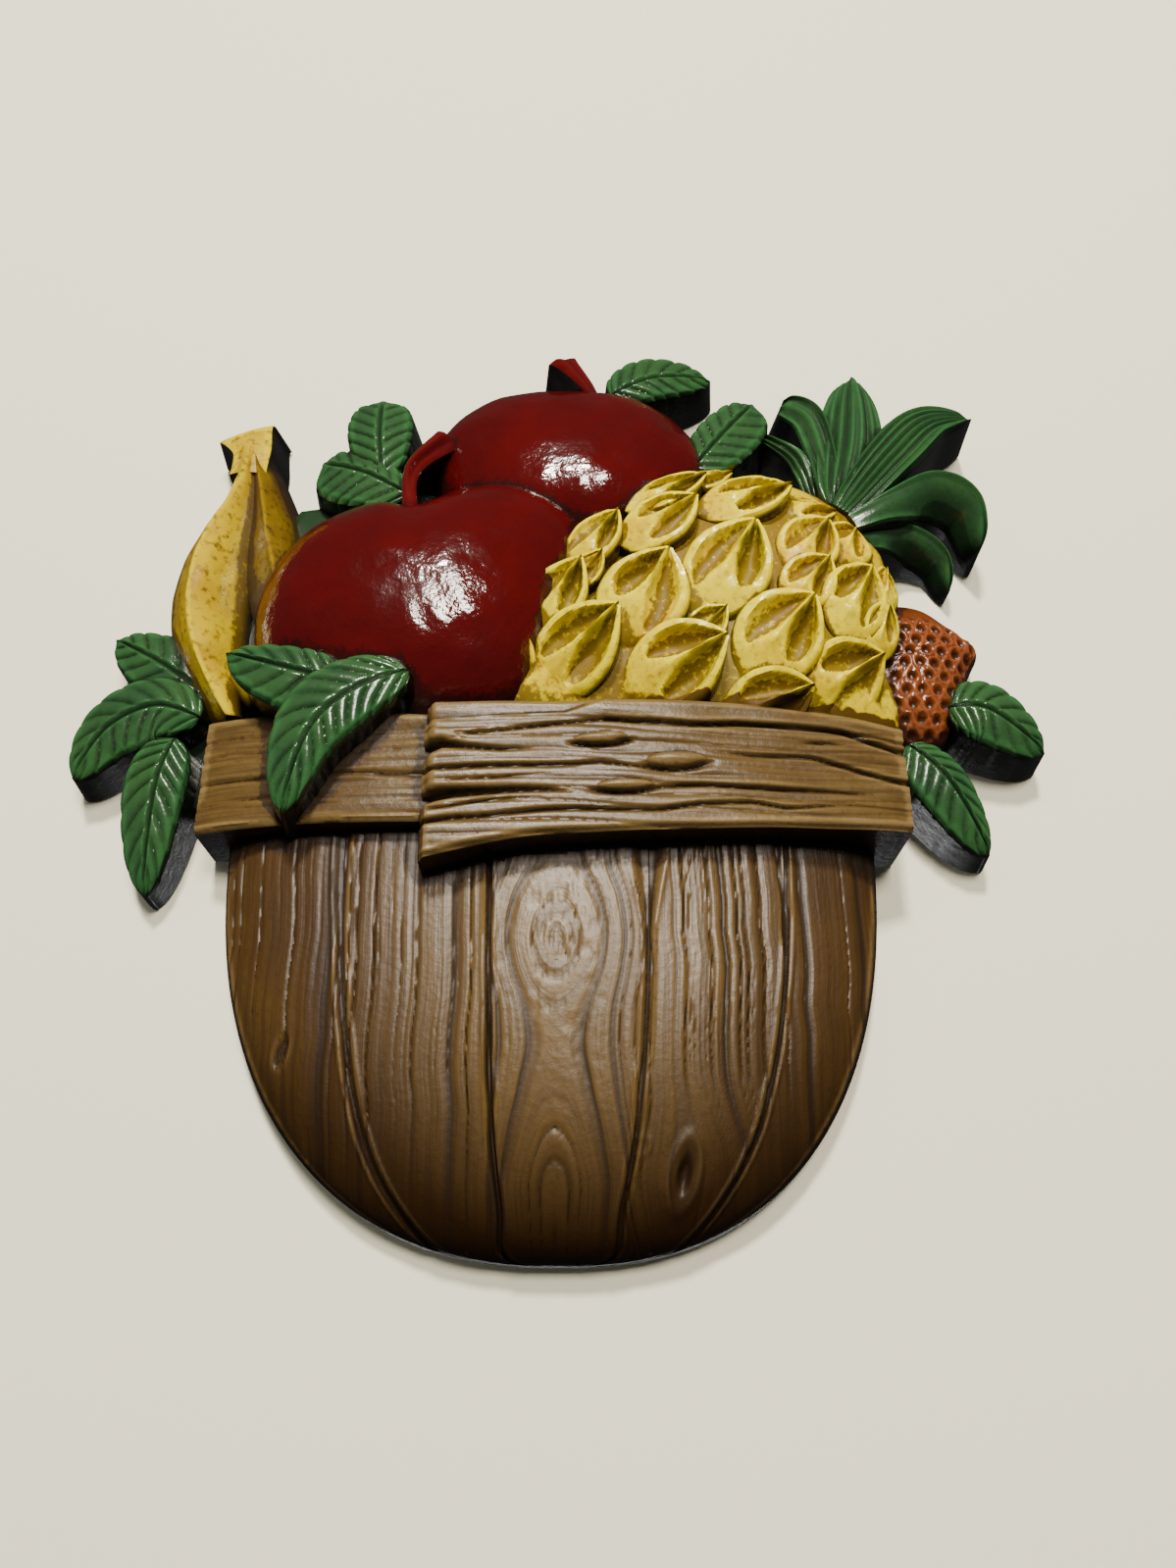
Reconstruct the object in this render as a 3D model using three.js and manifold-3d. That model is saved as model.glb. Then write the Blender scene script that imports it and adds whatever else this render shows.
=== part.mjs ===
// A painted cast-metal wall plaque: a basket of fruit in high relief, one hollow casting.
// Every form is a relief in plan (x across, z up) that rises h millimetres out of the wall plane,
// which is y = 0; the front faces -Y. The forms are joined into one solid and trimmed flat at the
// back, hollows of true wall thickness are cut behind the basket and the fruit, and a bar cast
// across the upper hollow takes the wall hook.
import * as THREE from "three";
import Module from "manifold-3d";
import { mergeVertices } from "three/addons/utils/BufferGeometryUtils.js";

const wasm = await Module();
wasm.setup();

// Driving dimensions, in millimetres. The layout's zero is the basket's axis at the rim.
const HOOK_Z = 60; // the hanging bar above the rim
const OVERRUN = 2; // how far a form runs behind the wall plane before the back is trimmed
const DRAFT = 0.12; // a side wall leans out by this much for each millimetre of height
const WALL = 4; // the casting's wall
const BASKET_HALF_WIDTH = 62.5;
const BASKET_DEPTH = 90.5; // from the rim down to the foot
const BASKET_STRAIGHT = 17; // of which the top is straight-sided
const BASKET_RELIEF = 21; // how far the belly stands out
const BASKET_SKIRT = 3; // the upright edge at the wall
const HOOP_ROOM = 5; // the hollow runs this much deeper behind the hoop
const TIP_WIDTH = 0.7; // half the width of a leaf's blunt ends

const MEAN_RADIUS = 25; // of the fruit, near enough to lean their skirts by the draft

const lerp = (a, b, t) => a + (b - a) * t;
const clamp = (v, low, high) => Math.min(high, Math.max(low, v));
const vec = ([x, z]) => new THREE.Vector2(x, z);

// The value at t along three values: start, middle and end.
function along([a, b, c], t) {
  return a * (1 - t) * (1 - 2 * t) + 4 * b * t * (1 - t) + c * t * (2 * t - 1);
}

// A closed geometry from its vertices and faces.
function meshOf(vertices, faces) {
  const g = new THREE.BufferGeometry();
  g.setAttribute("position", new THREE.Float32BufferAttribute(vertices.flat(), 3));
  g.setIndex(faces.flat());
  return g;
}

// Turns a geometry with shared vertices into a solid, and makes its faces point out.
function solid(geometry) {
  const tris = Uint32Array.from(geometry.index.array);
  const make = () =>
    new wasm.Manifold(
      new wasm.Mesh({
        numProp: 3,
        vertProperties: Float32Array.from(geometry.attributes.position.array),
        triVerts: tris,
      }),
    );
  const made = make();
  if (made.volume() > 0) return made;
  for (let i = 0; i < tris.length; i += 3) [tris[i + 1], tris[i + 2]] = [tris[i + 2], tris[i + 1]];
  return make();
}

// A relief over a grid of cols by rows: at(u, v) gives [x, z, h] for u and v from 0 to 1.
// Its walls run back, leaning out with the draft, to just behind the wall plane.
function relief(us, vs, at, draft = DRAFT) {
  const cols = us.length - 1;
  const rows = vs.length - 1;
  const front = vs.map((v) => us.map((u) => at(u, v)));
  const vertices = front.flat().map(([x, z, h]) => [x, -h, z]);
  const faces = [];
  const id = (i, j) => j * (cols + 1) + i;
  const quad = (a, b, c, d) => faces.push([a, b, c], [a, c, d]);
  for (let j = 0; j < rows; j++)
    for (let i = 0; i < cols; i++) quad(id(i, j), id(i + 1, j), id(i + 1, j + 1), id(i, j + 1));
  const back = [0, cols].map((side, k) =>
    front.map((row) => {
      const [x, z, h] = row[side];
      const [ox, oz] = row[cols - side];
      const width = Math.hypot(x - ox, z - oz);
      const lean = (h * draft) / Math.max(width, 1);
      vertices.push([x + (x - ox) * lean, OVERRUN, z + (z - oz) * lean]);
      return (cols + 1) * (rows + 1) + k * (rows + 1);
    }),
  );
  const left = (j) => back[0][0] + j;
  const right = (j) => back[1][0] + j;
  for (let j = 0; j < rows; j++) {
    quad(id(0, j), id(0, j + 1), left(j + 1), left(j));
    quad(id(cols, j + 1), id(cols, j), right(j), right(j + 1));
    quad(left(j), left(j + 1), right(j + 1), right(j));
  }
  for (let i = 0; i < cols; i++) {
    faces.push([id(i + 1, 0), id(i, 0), left(0)]);
    faces.push([id(i, rows), id(i + 1, rows), left(rows)]);
  }
  faces.push([id(cols, 0), left(0), right(0)], [id(cols, rows), right(rows), left(rows)]);
  return solid(meshOf(vertices, faces));
}

// A dome on a closed outline drawn through a few points: rings shrink towards the centre while
// the height climbs from the skirt to the crown.
function dome({ outline, centre, skirt, crown, power = 2.2, segments = 26, rings = 6 }) {
  const curve = new THREE.CatmullRomCurve3(
    outline.map(([x, z]) => new THREE.Vector3(x, 0, z)),
    true,
    "centripetal",
  );
  const edge = curve.getSpacedPoints(segments).slice(0, segments);
  const [cx, cz] = centre;
  const vertices = [[cx, -crown, cz]];
  for (let k = 1; k <= rings; k++) {
    const r = Math.sin(((Math.PI / 2) * k) / rings);
    const rise = (1 - r ** power) ** (1 / power);
    for (const p of edge) {
      const x = lerp(cx, p.x, r);
      const z = lerp(cz, p.z, r);
      vertices.push([x, -lerp(skirt, crown, rise), z]);
    }
  }
  const lean = 1 + (skirt * DRAFT) / MEAN_RADIUS;
  for (const p of edge) vertices.push([cx + (p.x - cx) * lean, OVERRUN, cz + (p.z - cz) * lean]);
  vertices.push([cx, OVERRUN, cz]);
  const id = (k, i) => 1 + (k - 1) * segments + (i % segments);
  const faces = [];
  for (let i = 0; i < segments; i++) {
    faces.push([0, id(1, i), id(1, i + 1)]);
    for (let k = 1; k <= rings; k++) {
      faces.push([id(k, i), id(k + 1, i), id(k + 1, i + 1)]);
      faces.push([id(k, i), id(k + 1, i + 1), id(k, i + 1)]);
    }
    faces.push([vertices.length - 1, id(rings + 1, i + 1), id(rings + 1, i)]);
  }
  return solid(meshOf(vertices, faces));
}

const steps = (n) => Array.from({ length: n + 1 }, (_, i) => i / n);

// The basket's plan is the lower half of a superellipse below a straight part. For v from 0 at
// the foot to 1 at the top: the height z, the half width, and both as shares of their greatest.
const PLAN_POWER = 2.4;
const PLAN_TAPER = 0.03; // how much narrower it runs towards the foot
const FOOT_SHIFT = 1.8; // the foot sits a little to the right of the rim
const FOOT_ANGLE = (86 * Math.PI) / 180;
const BASKET_TOP = 6;
const CURVED_ROWS = 0.75; // the share of the rows on the rounded part
function basketRow(v, inset = 0) {
  const angle = FOOT_ANGLE * (1 - clamp(v / CURVED_ROWS, 0, 1));
  const rise = clamp((v - CURVED_ROWS) / (1 - CURVED_ROWS), 0, 1);
  const drop = Math.sin(angle) ** (2 / PLAN_POWER);
  const full = Math.cos(angle) ** (2 / PLAN_POWER);
  const top = BASKET_TOP - inset;
  const z = lerp(-BASKET_STRAIGHT, top, rise) - (BASKET_DEPTH - BASKET_STRAIGHT - inset) * drop;
  const half = (BASKET_HALF_WIDTH - inset) * full * (1 - PLAN_TAPER * drop);
  return { z, middle: FOOT_SHIFT * drop ** 2, half, full, drop };
}

// How far out the belly stands, 0 at the edge to 1 at the middle: a little fuller than a sphere.
const BELLY_POWER = 2.4;
function belly(s, { full, drop }) {
  const radius = ((Math.abs(s) * full) ** PLAN_POWER + drop ** PLAN_POWER) ** (1 / PLAN_POWER);
  return (1 - Math.min(1, radius) ** BELLY_POWER) ** (1 / BELLY_POWER);
}

// Five staves between four gaps. Each gap starts at a share of the half width at the rim, sags
// outwards on the way down and turns out sideways at the foot.
const SEAMS = [
  { top: -0.6, sag: -0.2 },
  { top: -0.17, sag: -0.1 },
  { top: 0.285, sag: 0.03 },
  { top: 0.69, sag: 0.1 },
];
const SEAM_TURN = 0.4;
const SEAM_LIMIT = 0.97;
const SEAM_WIDTH = 0.06; // as a share of a stave
const SEAM_DEPTH = 1.2;
function seamShare({ top, sag }, drop) {
  const share = top + sag * drop ** 3 + Math.sign(top) * SEAM_TURN * drop ** 24;
  return clamp(share, -SEAM_LIMIT, SEAM_LIMIT);
}

function basket() {
  const staves = SEAMS.length + 1;
  const inStave = [0, SEAM_WIDTH, 0.5, 1 - SEAM_WIDTH];
  const columns = Array.from({ length: staves }, (_, k) => inStave.map((f) => k + f)).flat();
  columns.push(staves);
  return relief(columns, steps(12), (column, v) => {
    const row = basketRow(v);
    const edges = [-1, ...SEAMS.map((seam) => seamShare(seam, row.drop)), 1];
    const stave = Math.min(Math.floor(column), staves - 1);
    const s = lerp(edges[stave], edges[stave + 1], column - stave);
    const onSeam = column % 1 === 0 && column > 0 && column < staves;
    const out = lerp(BASKET_SKIRT, BASKET_RELIEF, belly(s, row));
    return [row.middle + s * row.half, row.z, out - (onSeam ? SEAM_DEPTH * row.full ** 0.3 : 0)];
  });
}

// The hoop is split wood that stands well proud of the staves. It bends less than the belly, so
// its ends stand up from the wall plane. Grooves run along it, and the upper end overlaps the lower.
const HOOP_BEND = 68; // the bend is measured at this far to each side
const HOOP_DRAFT = 0.03;
const GROOVE_HALF = 0.05; // as a share of the hoop's height
const GROOVE_DEPTH = 1;
const GRAIN_WANDER = 0.8; // how far the grooves stray from straight
const LIP = 0.8; // how far the edges are rounded back
function hoop({ from, to, top, bottom, out, grooves, cols }) {
  const across = [0, 0.05, ...grooves.flatMap((g) => [g - GROOVE_HALF, g, g + GROOVE_HALF]), 0.95, 1];
  return relief(across, steps(cols), (u, v) => {
    const x = lerp(to, from, v);
    const groove = grooves.includes(u) ? GROOVE_DEPTH : 0;
    const lip = u === 0 || u === 1 ? LIP : 0;
    const wander = lip ? 0 : GRAIN_WANDER * Math.sin(0.1 * x + 7 * u);
    return [x, lerp(bottom(x), top(x), u) + wander, out(x) - groove - lip];
  }, HOOP_DRAFT);
}

const LOWER_HOOP = {
  from: -66.5,
  to: -20,
  top: (x) => 4 - 0.08 * (x + 29),
  bottom: (x) => -17.6 - 0.03 * (x + 24),
  out: (x) => 26 - 12 * Math.abs(x / HOOP_BEND) ** 3,
  grooves: [0.34, 0.66],
  cols: 8,
};
const UPPER_HOOP = {
  from: -22.5,
  to: 66.5,
  top: (x) => 4.9 - 1.2 * clamp((x - 45) / 20, 0, 1) ** 2,
  bottom: (x) => -21 + 0.062 * (x - 7) - 3 * clamp(-x / 21, 0, 1.1) ** 1.5,
  out: (x) => 29.5 + 1.5 * clamp(-x / 22, 0, 1) ** 1.5 - 11 * Math.abs(x / HOOP_BEND) ** 2.2,
  grooves: [0.33, 0.52, 0.8],
  cols: 12,
};

// A leaf grows along its midrib, from base to tip. Its veins slant towards the tip, so the rows of
// the grid are vein lines, high and low in turn; the midrib is a groove and the edges droop.
const VEINS = 6;
const VEIN_SLANT = 0.1;
const VEIN_DEPTH = 0.45;
const MIDRIB_DEPTH = 0.9;
const EDGE_DROOP = 0.7;
function leaf({ midrib, half, height, shape = [0.62, 0.75] }) {
  const line = new THREE.SplineCurve(midrib.map(vec));
  const [a, b] = shape;
  const peak = (a / (a + b)) ** a * (b / (a + b)) ** b;
  return relief([0, 0.22, 0.5, 0.78, 1], steps(2 * VEINS), (u, v) => {
    const s = 2 * u - 1;
    const t = clamp(v + VEIN_SLANT * Math.abs(s) * 4 * v * (1 - v), 0, 1);
    const p = line.getPoint(t);
    const d = line.getTangent(t);
    const [left, right] = half;
    const reach = Math.max(TIP_WIDTH, ((s < 0 ? left : right) * t ** a * (1 - t) ** b) / peak) * s;
    const vein = Math.round(v * 2 * VEINS) % 2 ? -VEIN_DEPTH : VEIN_DEPTH;
    const ends = Math.min(1, 6 * v, 6 * (1 - v));
    const flesh = Math.abs(s) === 1 ? -EDGE_DROOP : vein;
    const cross = s === 0 ? -MIDRIB_DEPTH : flesh * ends;
    return [p.x - d.y * reach, p.y + d.x * reach, along(height, t) + cross];
  });
}

// The leaves, in the order of the clock from the left-hand cluster. half: left and right of the
// midrib, seen from its base.
const LEAVES = {
  left_top: { midrib: [[-67, 13], [-79, 21.5], [-90, 28]], half: [6.8, 7], height: [11, 11.5, 9] },
  left_middle: {
    midrib: [[-69, 8.5], [-78, 11], [-87.5, 6.5], [-93.5, -3]],
    half: [7.2, 7.6],
    height: [13, 13, 9],
  },
  left_low: { midrib: [[-73, 4], [-76, -6], [-77, -26]], half: [7, 5.4], height: [13, 12, 6.5] },
  middle_side: { midrib: [[-37, 9.5], [-47, 11.2], [-61, 15.5]], half: [5.5, 7.8], height: [28, 29, 26] },
  middle_low: {
    midrib: [[-26, 10.5], [-36, 5], [-43, -3], [-47, -17]],
    half: [8.4, 6.2],
    height: [28, 30, 27],
  },
  top_left_up: {
    midrib: [[-37, 65], [-38.5, 77], [-39, 88.5]],
    half: [7, 7.4],
    height: [14, 14.5, 11],
    shape: [0.6, 0.38],
  },
  top_left_side: {
    midrib: [[-31, 60], [-41, 66.5], [-51, 71]],
    half: [5.8, 8.6],
    height: [15, 14.5, 11],
    shape: [0.6, 0.4],
  },
  top_middle: { midrib: [[12, 87.3], [22, 93.2], [35, 96]], half: [5, 7.2], height: [14, 13.5, 9] },
  top_right: {
    midrib: [[29, 66], [36, 76], [44, 87.5]],
    half: [7.5, 6],
    height: [15, 15, 11],
    shape: [0.6, 0.45],
  },
  right_side: { midrib: [[78, 11], [86, 10], [97, 2.5]], half: [7, 6.5], height: [12, 13.5, 8.5] },
  right_low: { midrib: [[69, 3], [76.3, -5], [83.6, -18.3]], half: [6.8, 4.3], height: [12, 13, 7.5] },
};

// A blade of the pineapple's tuft, on a curved spine: it has a rolled crest where crest says, from
// -1 at its left edge to 1 at its right one, and falls away from it on both sides.
const BLADE_FOLD = 0.45;
const BLADE_EDGE = 0.5;
function blade({ spine, half, height, crest, fall }) {
  const line = new THREE.SplineCurve(spine.map(vec));
  return relief([0, 0.14, 0.32, 0.5, 0.68, 0.86, 1], steps(6), (u, v) => {
    const s = 2 * u - 1;
    const p = line.getPoint(v);
    const d = line.getTangent(v);
    const reach = s * Math.max(TIP_WIDTH, along(half, v) * (1 - v ** 8));
    const away = Math.abs(s - crest) / (1 + Math.abs(crest));
    const opened = clamp(2 * v, 0, 1);
    const fold = BLADE_FOLD * Math.cos(2 * Math.PI * s) - (Math.abs(s) === 1 ? BLADE_EDGE : 0);
    return [p.x - d.y * reach, p.y + d.x * reach, along(height, v) + fold - fall * away ** 1.3 * opened];
  });
}

const TUFT = {
  one: {
    spine: [[56, 58], [54, 68], [51.5, 73.5], [45, 79]],
    half: [1.8, 2.4, 0.8],
    height: [13, 14, 12],
    crest: -0.2,
    fall: 1.5,
  },
  two: {
    spine: [[58.5, 58], [57.5, 72], [55.5, 83], [50.5, 88.5]],
    half: [2, 3.2, 2.4],
    height: [15, 15, 11.5],
    crest: -0.85,
    fall: 3,
  },
  three: {
    spine: [[59.5, 57], [64, 74], [66.5, 95]],
    half: [2.4, 7, 3.2],
    height: [16, 16, 12.5],
    crest: -0.2,
    fall: 2,
  },
  four: {
    spine: [[60.5, 55], [72, 69.5], [81, 79], [91.5, 82]],
    half: [3, 6, 1.6],
    height: [17, 17.5, 14],
    crest: -0.75,
    fall: 1.2,
  },
  five: {
    spine: [[62, 52], [72, 57], [81, 61.3], [87.6, 59], [90, 50]],
    half: [2, 4, 2.6],
    height: [17.5, 17.5, 12],
    crest: 0.8,
    fall: 8,
  },
  six: {
    spine: [[61, 47.5], [69, 51], [76, 52], [82, 49], [84, 42.5]],
    half: [2, 3.1, 1.6],
    height: [16, 12, 6],
    crest: 0.8,
    fall: 6,
  },
};

// The pineapple's scales. Each climbs from its root to a proud point, with a ridge between two
// scooped cheeks, inside a rim. The rows run towards the tuft.
const PINEAPPLE = {
  outline: [
    [-15, 4], [-14, 18], [-7, 31], [3, 44], [15, 56], [28, 64], [46, 67],
    [60, 61], [69, 50], [71, 36], [69, 20], [66, 2], [25, -6],
  ],
  centre: [29, 28],
  skirt: 6,
  crown: 28,
  power: 2.1,
  rings: 4,
};
// How far the body reaches from its centre: to each side, up and down.
const PINEAPPLE_REACH = { side: 44, up: 40, down: 34 };
const SCALES = [
  { at: [-9, 15], turn: 76, length: 17, half: 5.5 },
  { at: [3.8, 16.4], turn: 37, length: 21, half: 7.6 },
  { at: [23, 12.2], turn: 24, length: 20, half: 7.6 },
  { at: [40, 5.5], turn: 20, length: 18, half: 6 },
  { at: [55.3, 11.5], turn: 34, length: 19, half: 6.8 },
  { at: [-0.1, 28], turn: 51, length: 17.5, half: 6.2 },
  { at: [17.3, 26.1], turn: 60, length: 19.5, half: 8.2 },
  { at: [33.5, 32], turn: 60, length: 22, half: 7.8 },
  { at: [50.5, 40.5], turn: 55, length: 15.5, half: 5.8 },
  { at: [49.5, 31], turn: 50, length: 13.5, half: 5.2 },
  { at: [59, 28.4], turn: 63, length: 17, half: 6.4 },
  { at: [42.8, 18.2], turn: 48, length: 19.5, half: 7.8 },
  { at: [38.5, 52], turn: 22, length: 20, half: 6 },
  { at: [21, 45], turn: 33, length: 17, half: 6 },
  { at: [7.8, 41.5], turn: 48, length: 14.5, half: 5 },
  { at: [22.8, 54], turn: 24, length: 17, half: 4.4 },
  { at: [60, 44.5], turn: 66, length: 12.5, half: 5 },
  { at: [52, 52.5], turn: 12, length: 12.5, half: 4.6 },
];
const SCALE_PROUD = 5.6; // how far the longest scales' points stand out
const SCALE_LONGEST = 22;
const SCALE_DRAFT = 0.05;
const ROOT_PROUD = 0.8;
const CHEEK_DEPTH = 1.7;
const CHEEK = 0.5; // where the cheeks lie, as a share of the half width
const RIDGE = 0.5;
function pineappleHeight(x, z) {
  const [cx, cz] = PINEAPPLE.centre;
  const { side, up, down } = PINEAPPLE_REACH;
  const r = clamp(Math.hypot((x - cx) / side, (z - cz) / (z > cz ? up : down)), 0, 1);
  return lerp(PINEAPPLE.skirt, PINEAPPLE.crown, (1 - r ** PINEAPPLE.power) ** (1 / PINEAPPLE.power));
}
function scale({ at, turn, length, half }) {
  const a = (turn * Math.PI) / 180;
  const [cx, cz] = at;
  const size = length / SCALE_LONGEST;
  return relief([0, (1 - CHEEK) / 2, 0.5, (1 + CHEEK) / 2, 1], steps(5), (u, v) => {
    const s = 2 * u - 1;
    const t = 2 * v - 1;
    const width = Math.max(TIP_WIDTH / half, (1 - Math.abs(t) ** 2.1) ** (t > 0 ? 0.82 : 0.62));
    const l = (t * length) / 2;
    const w = s * half * width;
    const x = cx + l * Math.cos(a) - w * Math.sin(a);
    const z = cz + l * Math.sin(a) + w * Math.cos(a);
    const climb = lerp(ROOT_PROUD, SCALE_PROUD * size, 1 - (1 - v) ** 2);
    const cheek = Math.abs(s) === CHEEK ? CHEEK_DEPTH * size * Math.sin(Math.PI * v) : 0;
    return [x, z, pineappleHeight(x, z) + climb - cheek + (s === 0 ? RIDGE : 0)];
  }, SCALE_DRAFT);
}

const UPPER_APPLE = {
  outline: [
    [-27, 70], [-24, 81], [-14, 88.8], [3, 91], [18, 88.5],
    [29, 80], [34, 69], [30, 55], [10, 45], [-18, 50],
  ],
  centre: [4, 67],
  skirt: 8,
  crown: 25,
};
const LOWER_APPLE = {
  outline: [
    [-61, 29], [-58, 42], [-50, 52], [-38, 57], [-29, 56], [-18, 61], [-4, 62],
    [7, 55], [10, 42], [5, 22], [-8, 6], [-35, 2], [-56, 14],
  ],
  centre: [-25, 32],
  skirt: 10,
  crown: 32,
};

// A short apple stalk: a thin curved strip on edge, standing on the wall plane.
const STALK_ROUND = 0.4;
function stalk({ spine, half, height }) {
  const line = new THREE.SplineCurve(spine.map(vec));
  return relief([0, 0.5, 1], steps(4), (u, v) => {
    const s = 2 * u - 1;
    const p = line.getPoint(v);
    const d = line.getTangent(v);
    const reach = s * along(half, v);
    return [p.x - d.y * reach, p.y + d.x * reach, along(height, v) - STALK_ROUND * Math.abs(s)];
  });
}
const STALKS = {
  upper: { spine: [[8, 82], [7, 89], [1, 99]], half: [1.7, 1.7, 3.4], height: [18, 17, 15] },
  lower: { spine: [[-29, 50], [-29.5, 63], [-22.5, 72.5]], half: [1.8, 1.6, 3], height: [24, 22, 20] },
};

// A banana: a bent body with a long ridge between its outer face and its inner one. Its half width
// swells along it as swell says.
const BANANA_EDGE = 4; // how far its edges stand out
const swell = ({ base, more, start, rate }, v) =>
  base + more * Math.sin(Math.PI * clamp(start + rate * v, 0, 1)) ** 0.8;
function banana({ spine, half, height, ridge }) {
  const line = new THREE.SplineCurve(spine.map(vec));
  const sections = [0, 0.12, 0.32, ridge, (1 + ridge) / 2, 1];
  return relief(sections, steps(8), (u, v) => {
    const s = 2 * u - 1;
    const p = line.getPoint(v);
    const d = line.getTangent(v);
    const w = swell(half, v);
    const drop = u < ridge ? ((ridge - u) / ridge) ** 1.8 : ((u - ridge) / (1 - ridge)) ** 1.2 * 0.6;
    return [p.x - d.y * s * w, p.y + d.x * s * w, lerp(along(height, v), BANANA_EDGE, drop)];
  });
}
const FRONT_BANANA = {
  spine: [[-62, 8], [-68.5, 22], [-71, 34], [-70.5, 47], [-67.5, 60], [-66.3, 76]],
  half: { base: 3.4, more: 5.2, start: 0, rate: 1.1 },
  height: [16, 18, 12],
  ridge: 0.64,
};
const REAR_BANANA = {
  spine: [[-54, 30], [-59, 46], [-62, 58], [-66, 74]],
  half: { base: 3, more: 4.5, start: 0.3, rate: 0.7 },
  height: [15, 14.5, 12],
  ridge: 0.5,
};
const BANANA_STEM = {
  spine: [[-67, 68], [-67, 75], [-69, 80.5]],
  half: [4, 4.2, 6.4],
  height: [13, 12.5, 11.5],
};

// The low ground that closes the gaps between the fruit.
const GROUND = {
  outline: [
    [-72, -8], [-73, 7], [-66, 30], [-59, 60], [-44, 65], [-30, 73], [-12, 85], [18, 85],
    [36, 72], [60, 56], [66, 40], [70, 26], [72, 6], [69, -7], [0, -12],
  ],
  centre: [5, 30],
  skirt: 6,
  crown: 9,
  segments: 30,
  rings: 2,
};

const STRAWBERRY = {
  outline: [
    [58, 20], [60, 30], [67, 36.4], [75.6, 36.3],
    [82.3, 31.2], [87.4, 26], [84.8, 20], [82.5, 11], [76, 4], [64, 6],
  ],
  centre: [71, 22],
  skirt: 5,
  crown: 16,
  segments: 20,
  rings: 4,
};

// The same forms, a wall thinner, are cut away from behind.
function shrunk(form) {
  const [cx, cz] = form.centre;
  return dome({
    ...form,
    outline: form.outline.map(([x, z]) => {
      const far = Math.hypot(x - cx, z - cz);
      const share = (far - WALL) / far;
      return [cx + (x - cx) * share, cz + (z - cz) * share];
    }),
    skirt: Math.max(1, form.skirt - WALL),
    crown: form.crown - WALL,
    segments: 18,
    rings: 4,
  });
}
function basketHollow() {
  return relief(steps(8), steps(7), (u, v) => {
    const s = Math.sin(((2 * u - 1) * Math.PI) / 2);
    const row = basketRow(v, WALL);
    const room = row.z > -BASKET_STRAIGHT ? HOOP_ROOM : 0;
    return [row.middle + s * row.half, row.z, lerp(1, BASKET_RELIEF - WALL, belly(s, row)) + room];
  }, 0);
}

// A box as a solid, from its low corner and its size.
function block(low, size) {
  const g = new THREE.BoxGeometry(...size);
  g.translate(...low.map((v, i) => v + size[i] / 2));
  g.deleteAttribute("normal");
  g.deleteAttribute("uv");
  return solid(mergeVertices(g));
}

const BAR = { length: 110, height: 8, thickness: 4 };
const REACH = 130; // a box this far each way holds the whole casting

function casting() {
  const forms = [
    basket(),
    dome(GROUND),
    hoop(LOWER_HOOP),
    hoop(UPPER_HOOP),
    ...Object.values(LEAVES).map(leaf),
    ...Object.values(TUFT).map(blade),
    dome(PINEAPPLE),
    ...SCALES.map(scale),
    dome(UPPER_APPLE),
    dome(LOWER_APPLE),
    stalk(STALKS.upper),
    stalk(STALKS.lower),
    banana(FRONT_BANANA),
    banana(REAR_BANANA),
    stalk(BANANA_STEM),
    dome(STRAWBERRY),
  ];
  const behind = block([-REACH, 0, -REACH], [2 * REACH, 2 * OVERRUN, 2 * REACH]);
  const whole = forms.reduce((sum, form) => sum.add(form)).subtract(behind);
  const hollows = [PINEAPPLE, UPPER_APPLE, LOWER_APPLE].map(shrunk);
  const shell = [basketHollow(), ...hollows].reduce((sum, form) => sum.subtract(form), whole);
  const bar = block(
    [-BAR.length / 2, -BAR.thickness, HOOK_Z - BAR.height / 2],
    [BAR.length, BAR.thickness, BAR.height],
  );
  return shell.add(bar.intersect(whole));
}

function geometryOf(made) {
  const mesh = made.getMesh();
  const g = new THREE.BufferGeometry();
  g.setAttribute("position", new THREE.BufferAttribute(mesh.vertProperties, 3));
  g.setIndex(new THREE.BufferAttribute(mesh.triVerts, 1));
  return g;
}

const plaque = new THREE.Mesh(
  geometryOf(casting()),
  new THREE.MeshStandardMaterial({ color: 0x7a5a38, roughness: 0.45, metalness: 0 }),
);
plaque.name = "fruit_basket_casting";
plaque.position.z = -HOOK_Z;

const root = new THREE.Group();
root.add(plaque);
export default root;
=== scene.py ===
"""Dresses the painted wall plaque: a slatted basket of fruit, cast in one piece in high relief.

The casting's forms are carved one by one at their full detail, fused into three meshes, cut flat and
hollow at the back, and painted in gloss enamels under a brown wash. The layout is in millimetres
in plan: x to the right, z up from the basket's rim, and h out from the wall.
"""

import logging
import math
from dataclasses import dataclass
from enum import Enum
from typing import Callable, Sequence

import bpy
import numpy as np
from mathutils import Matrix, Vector
from mathutils.bvhtree import BVHTree

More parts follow.
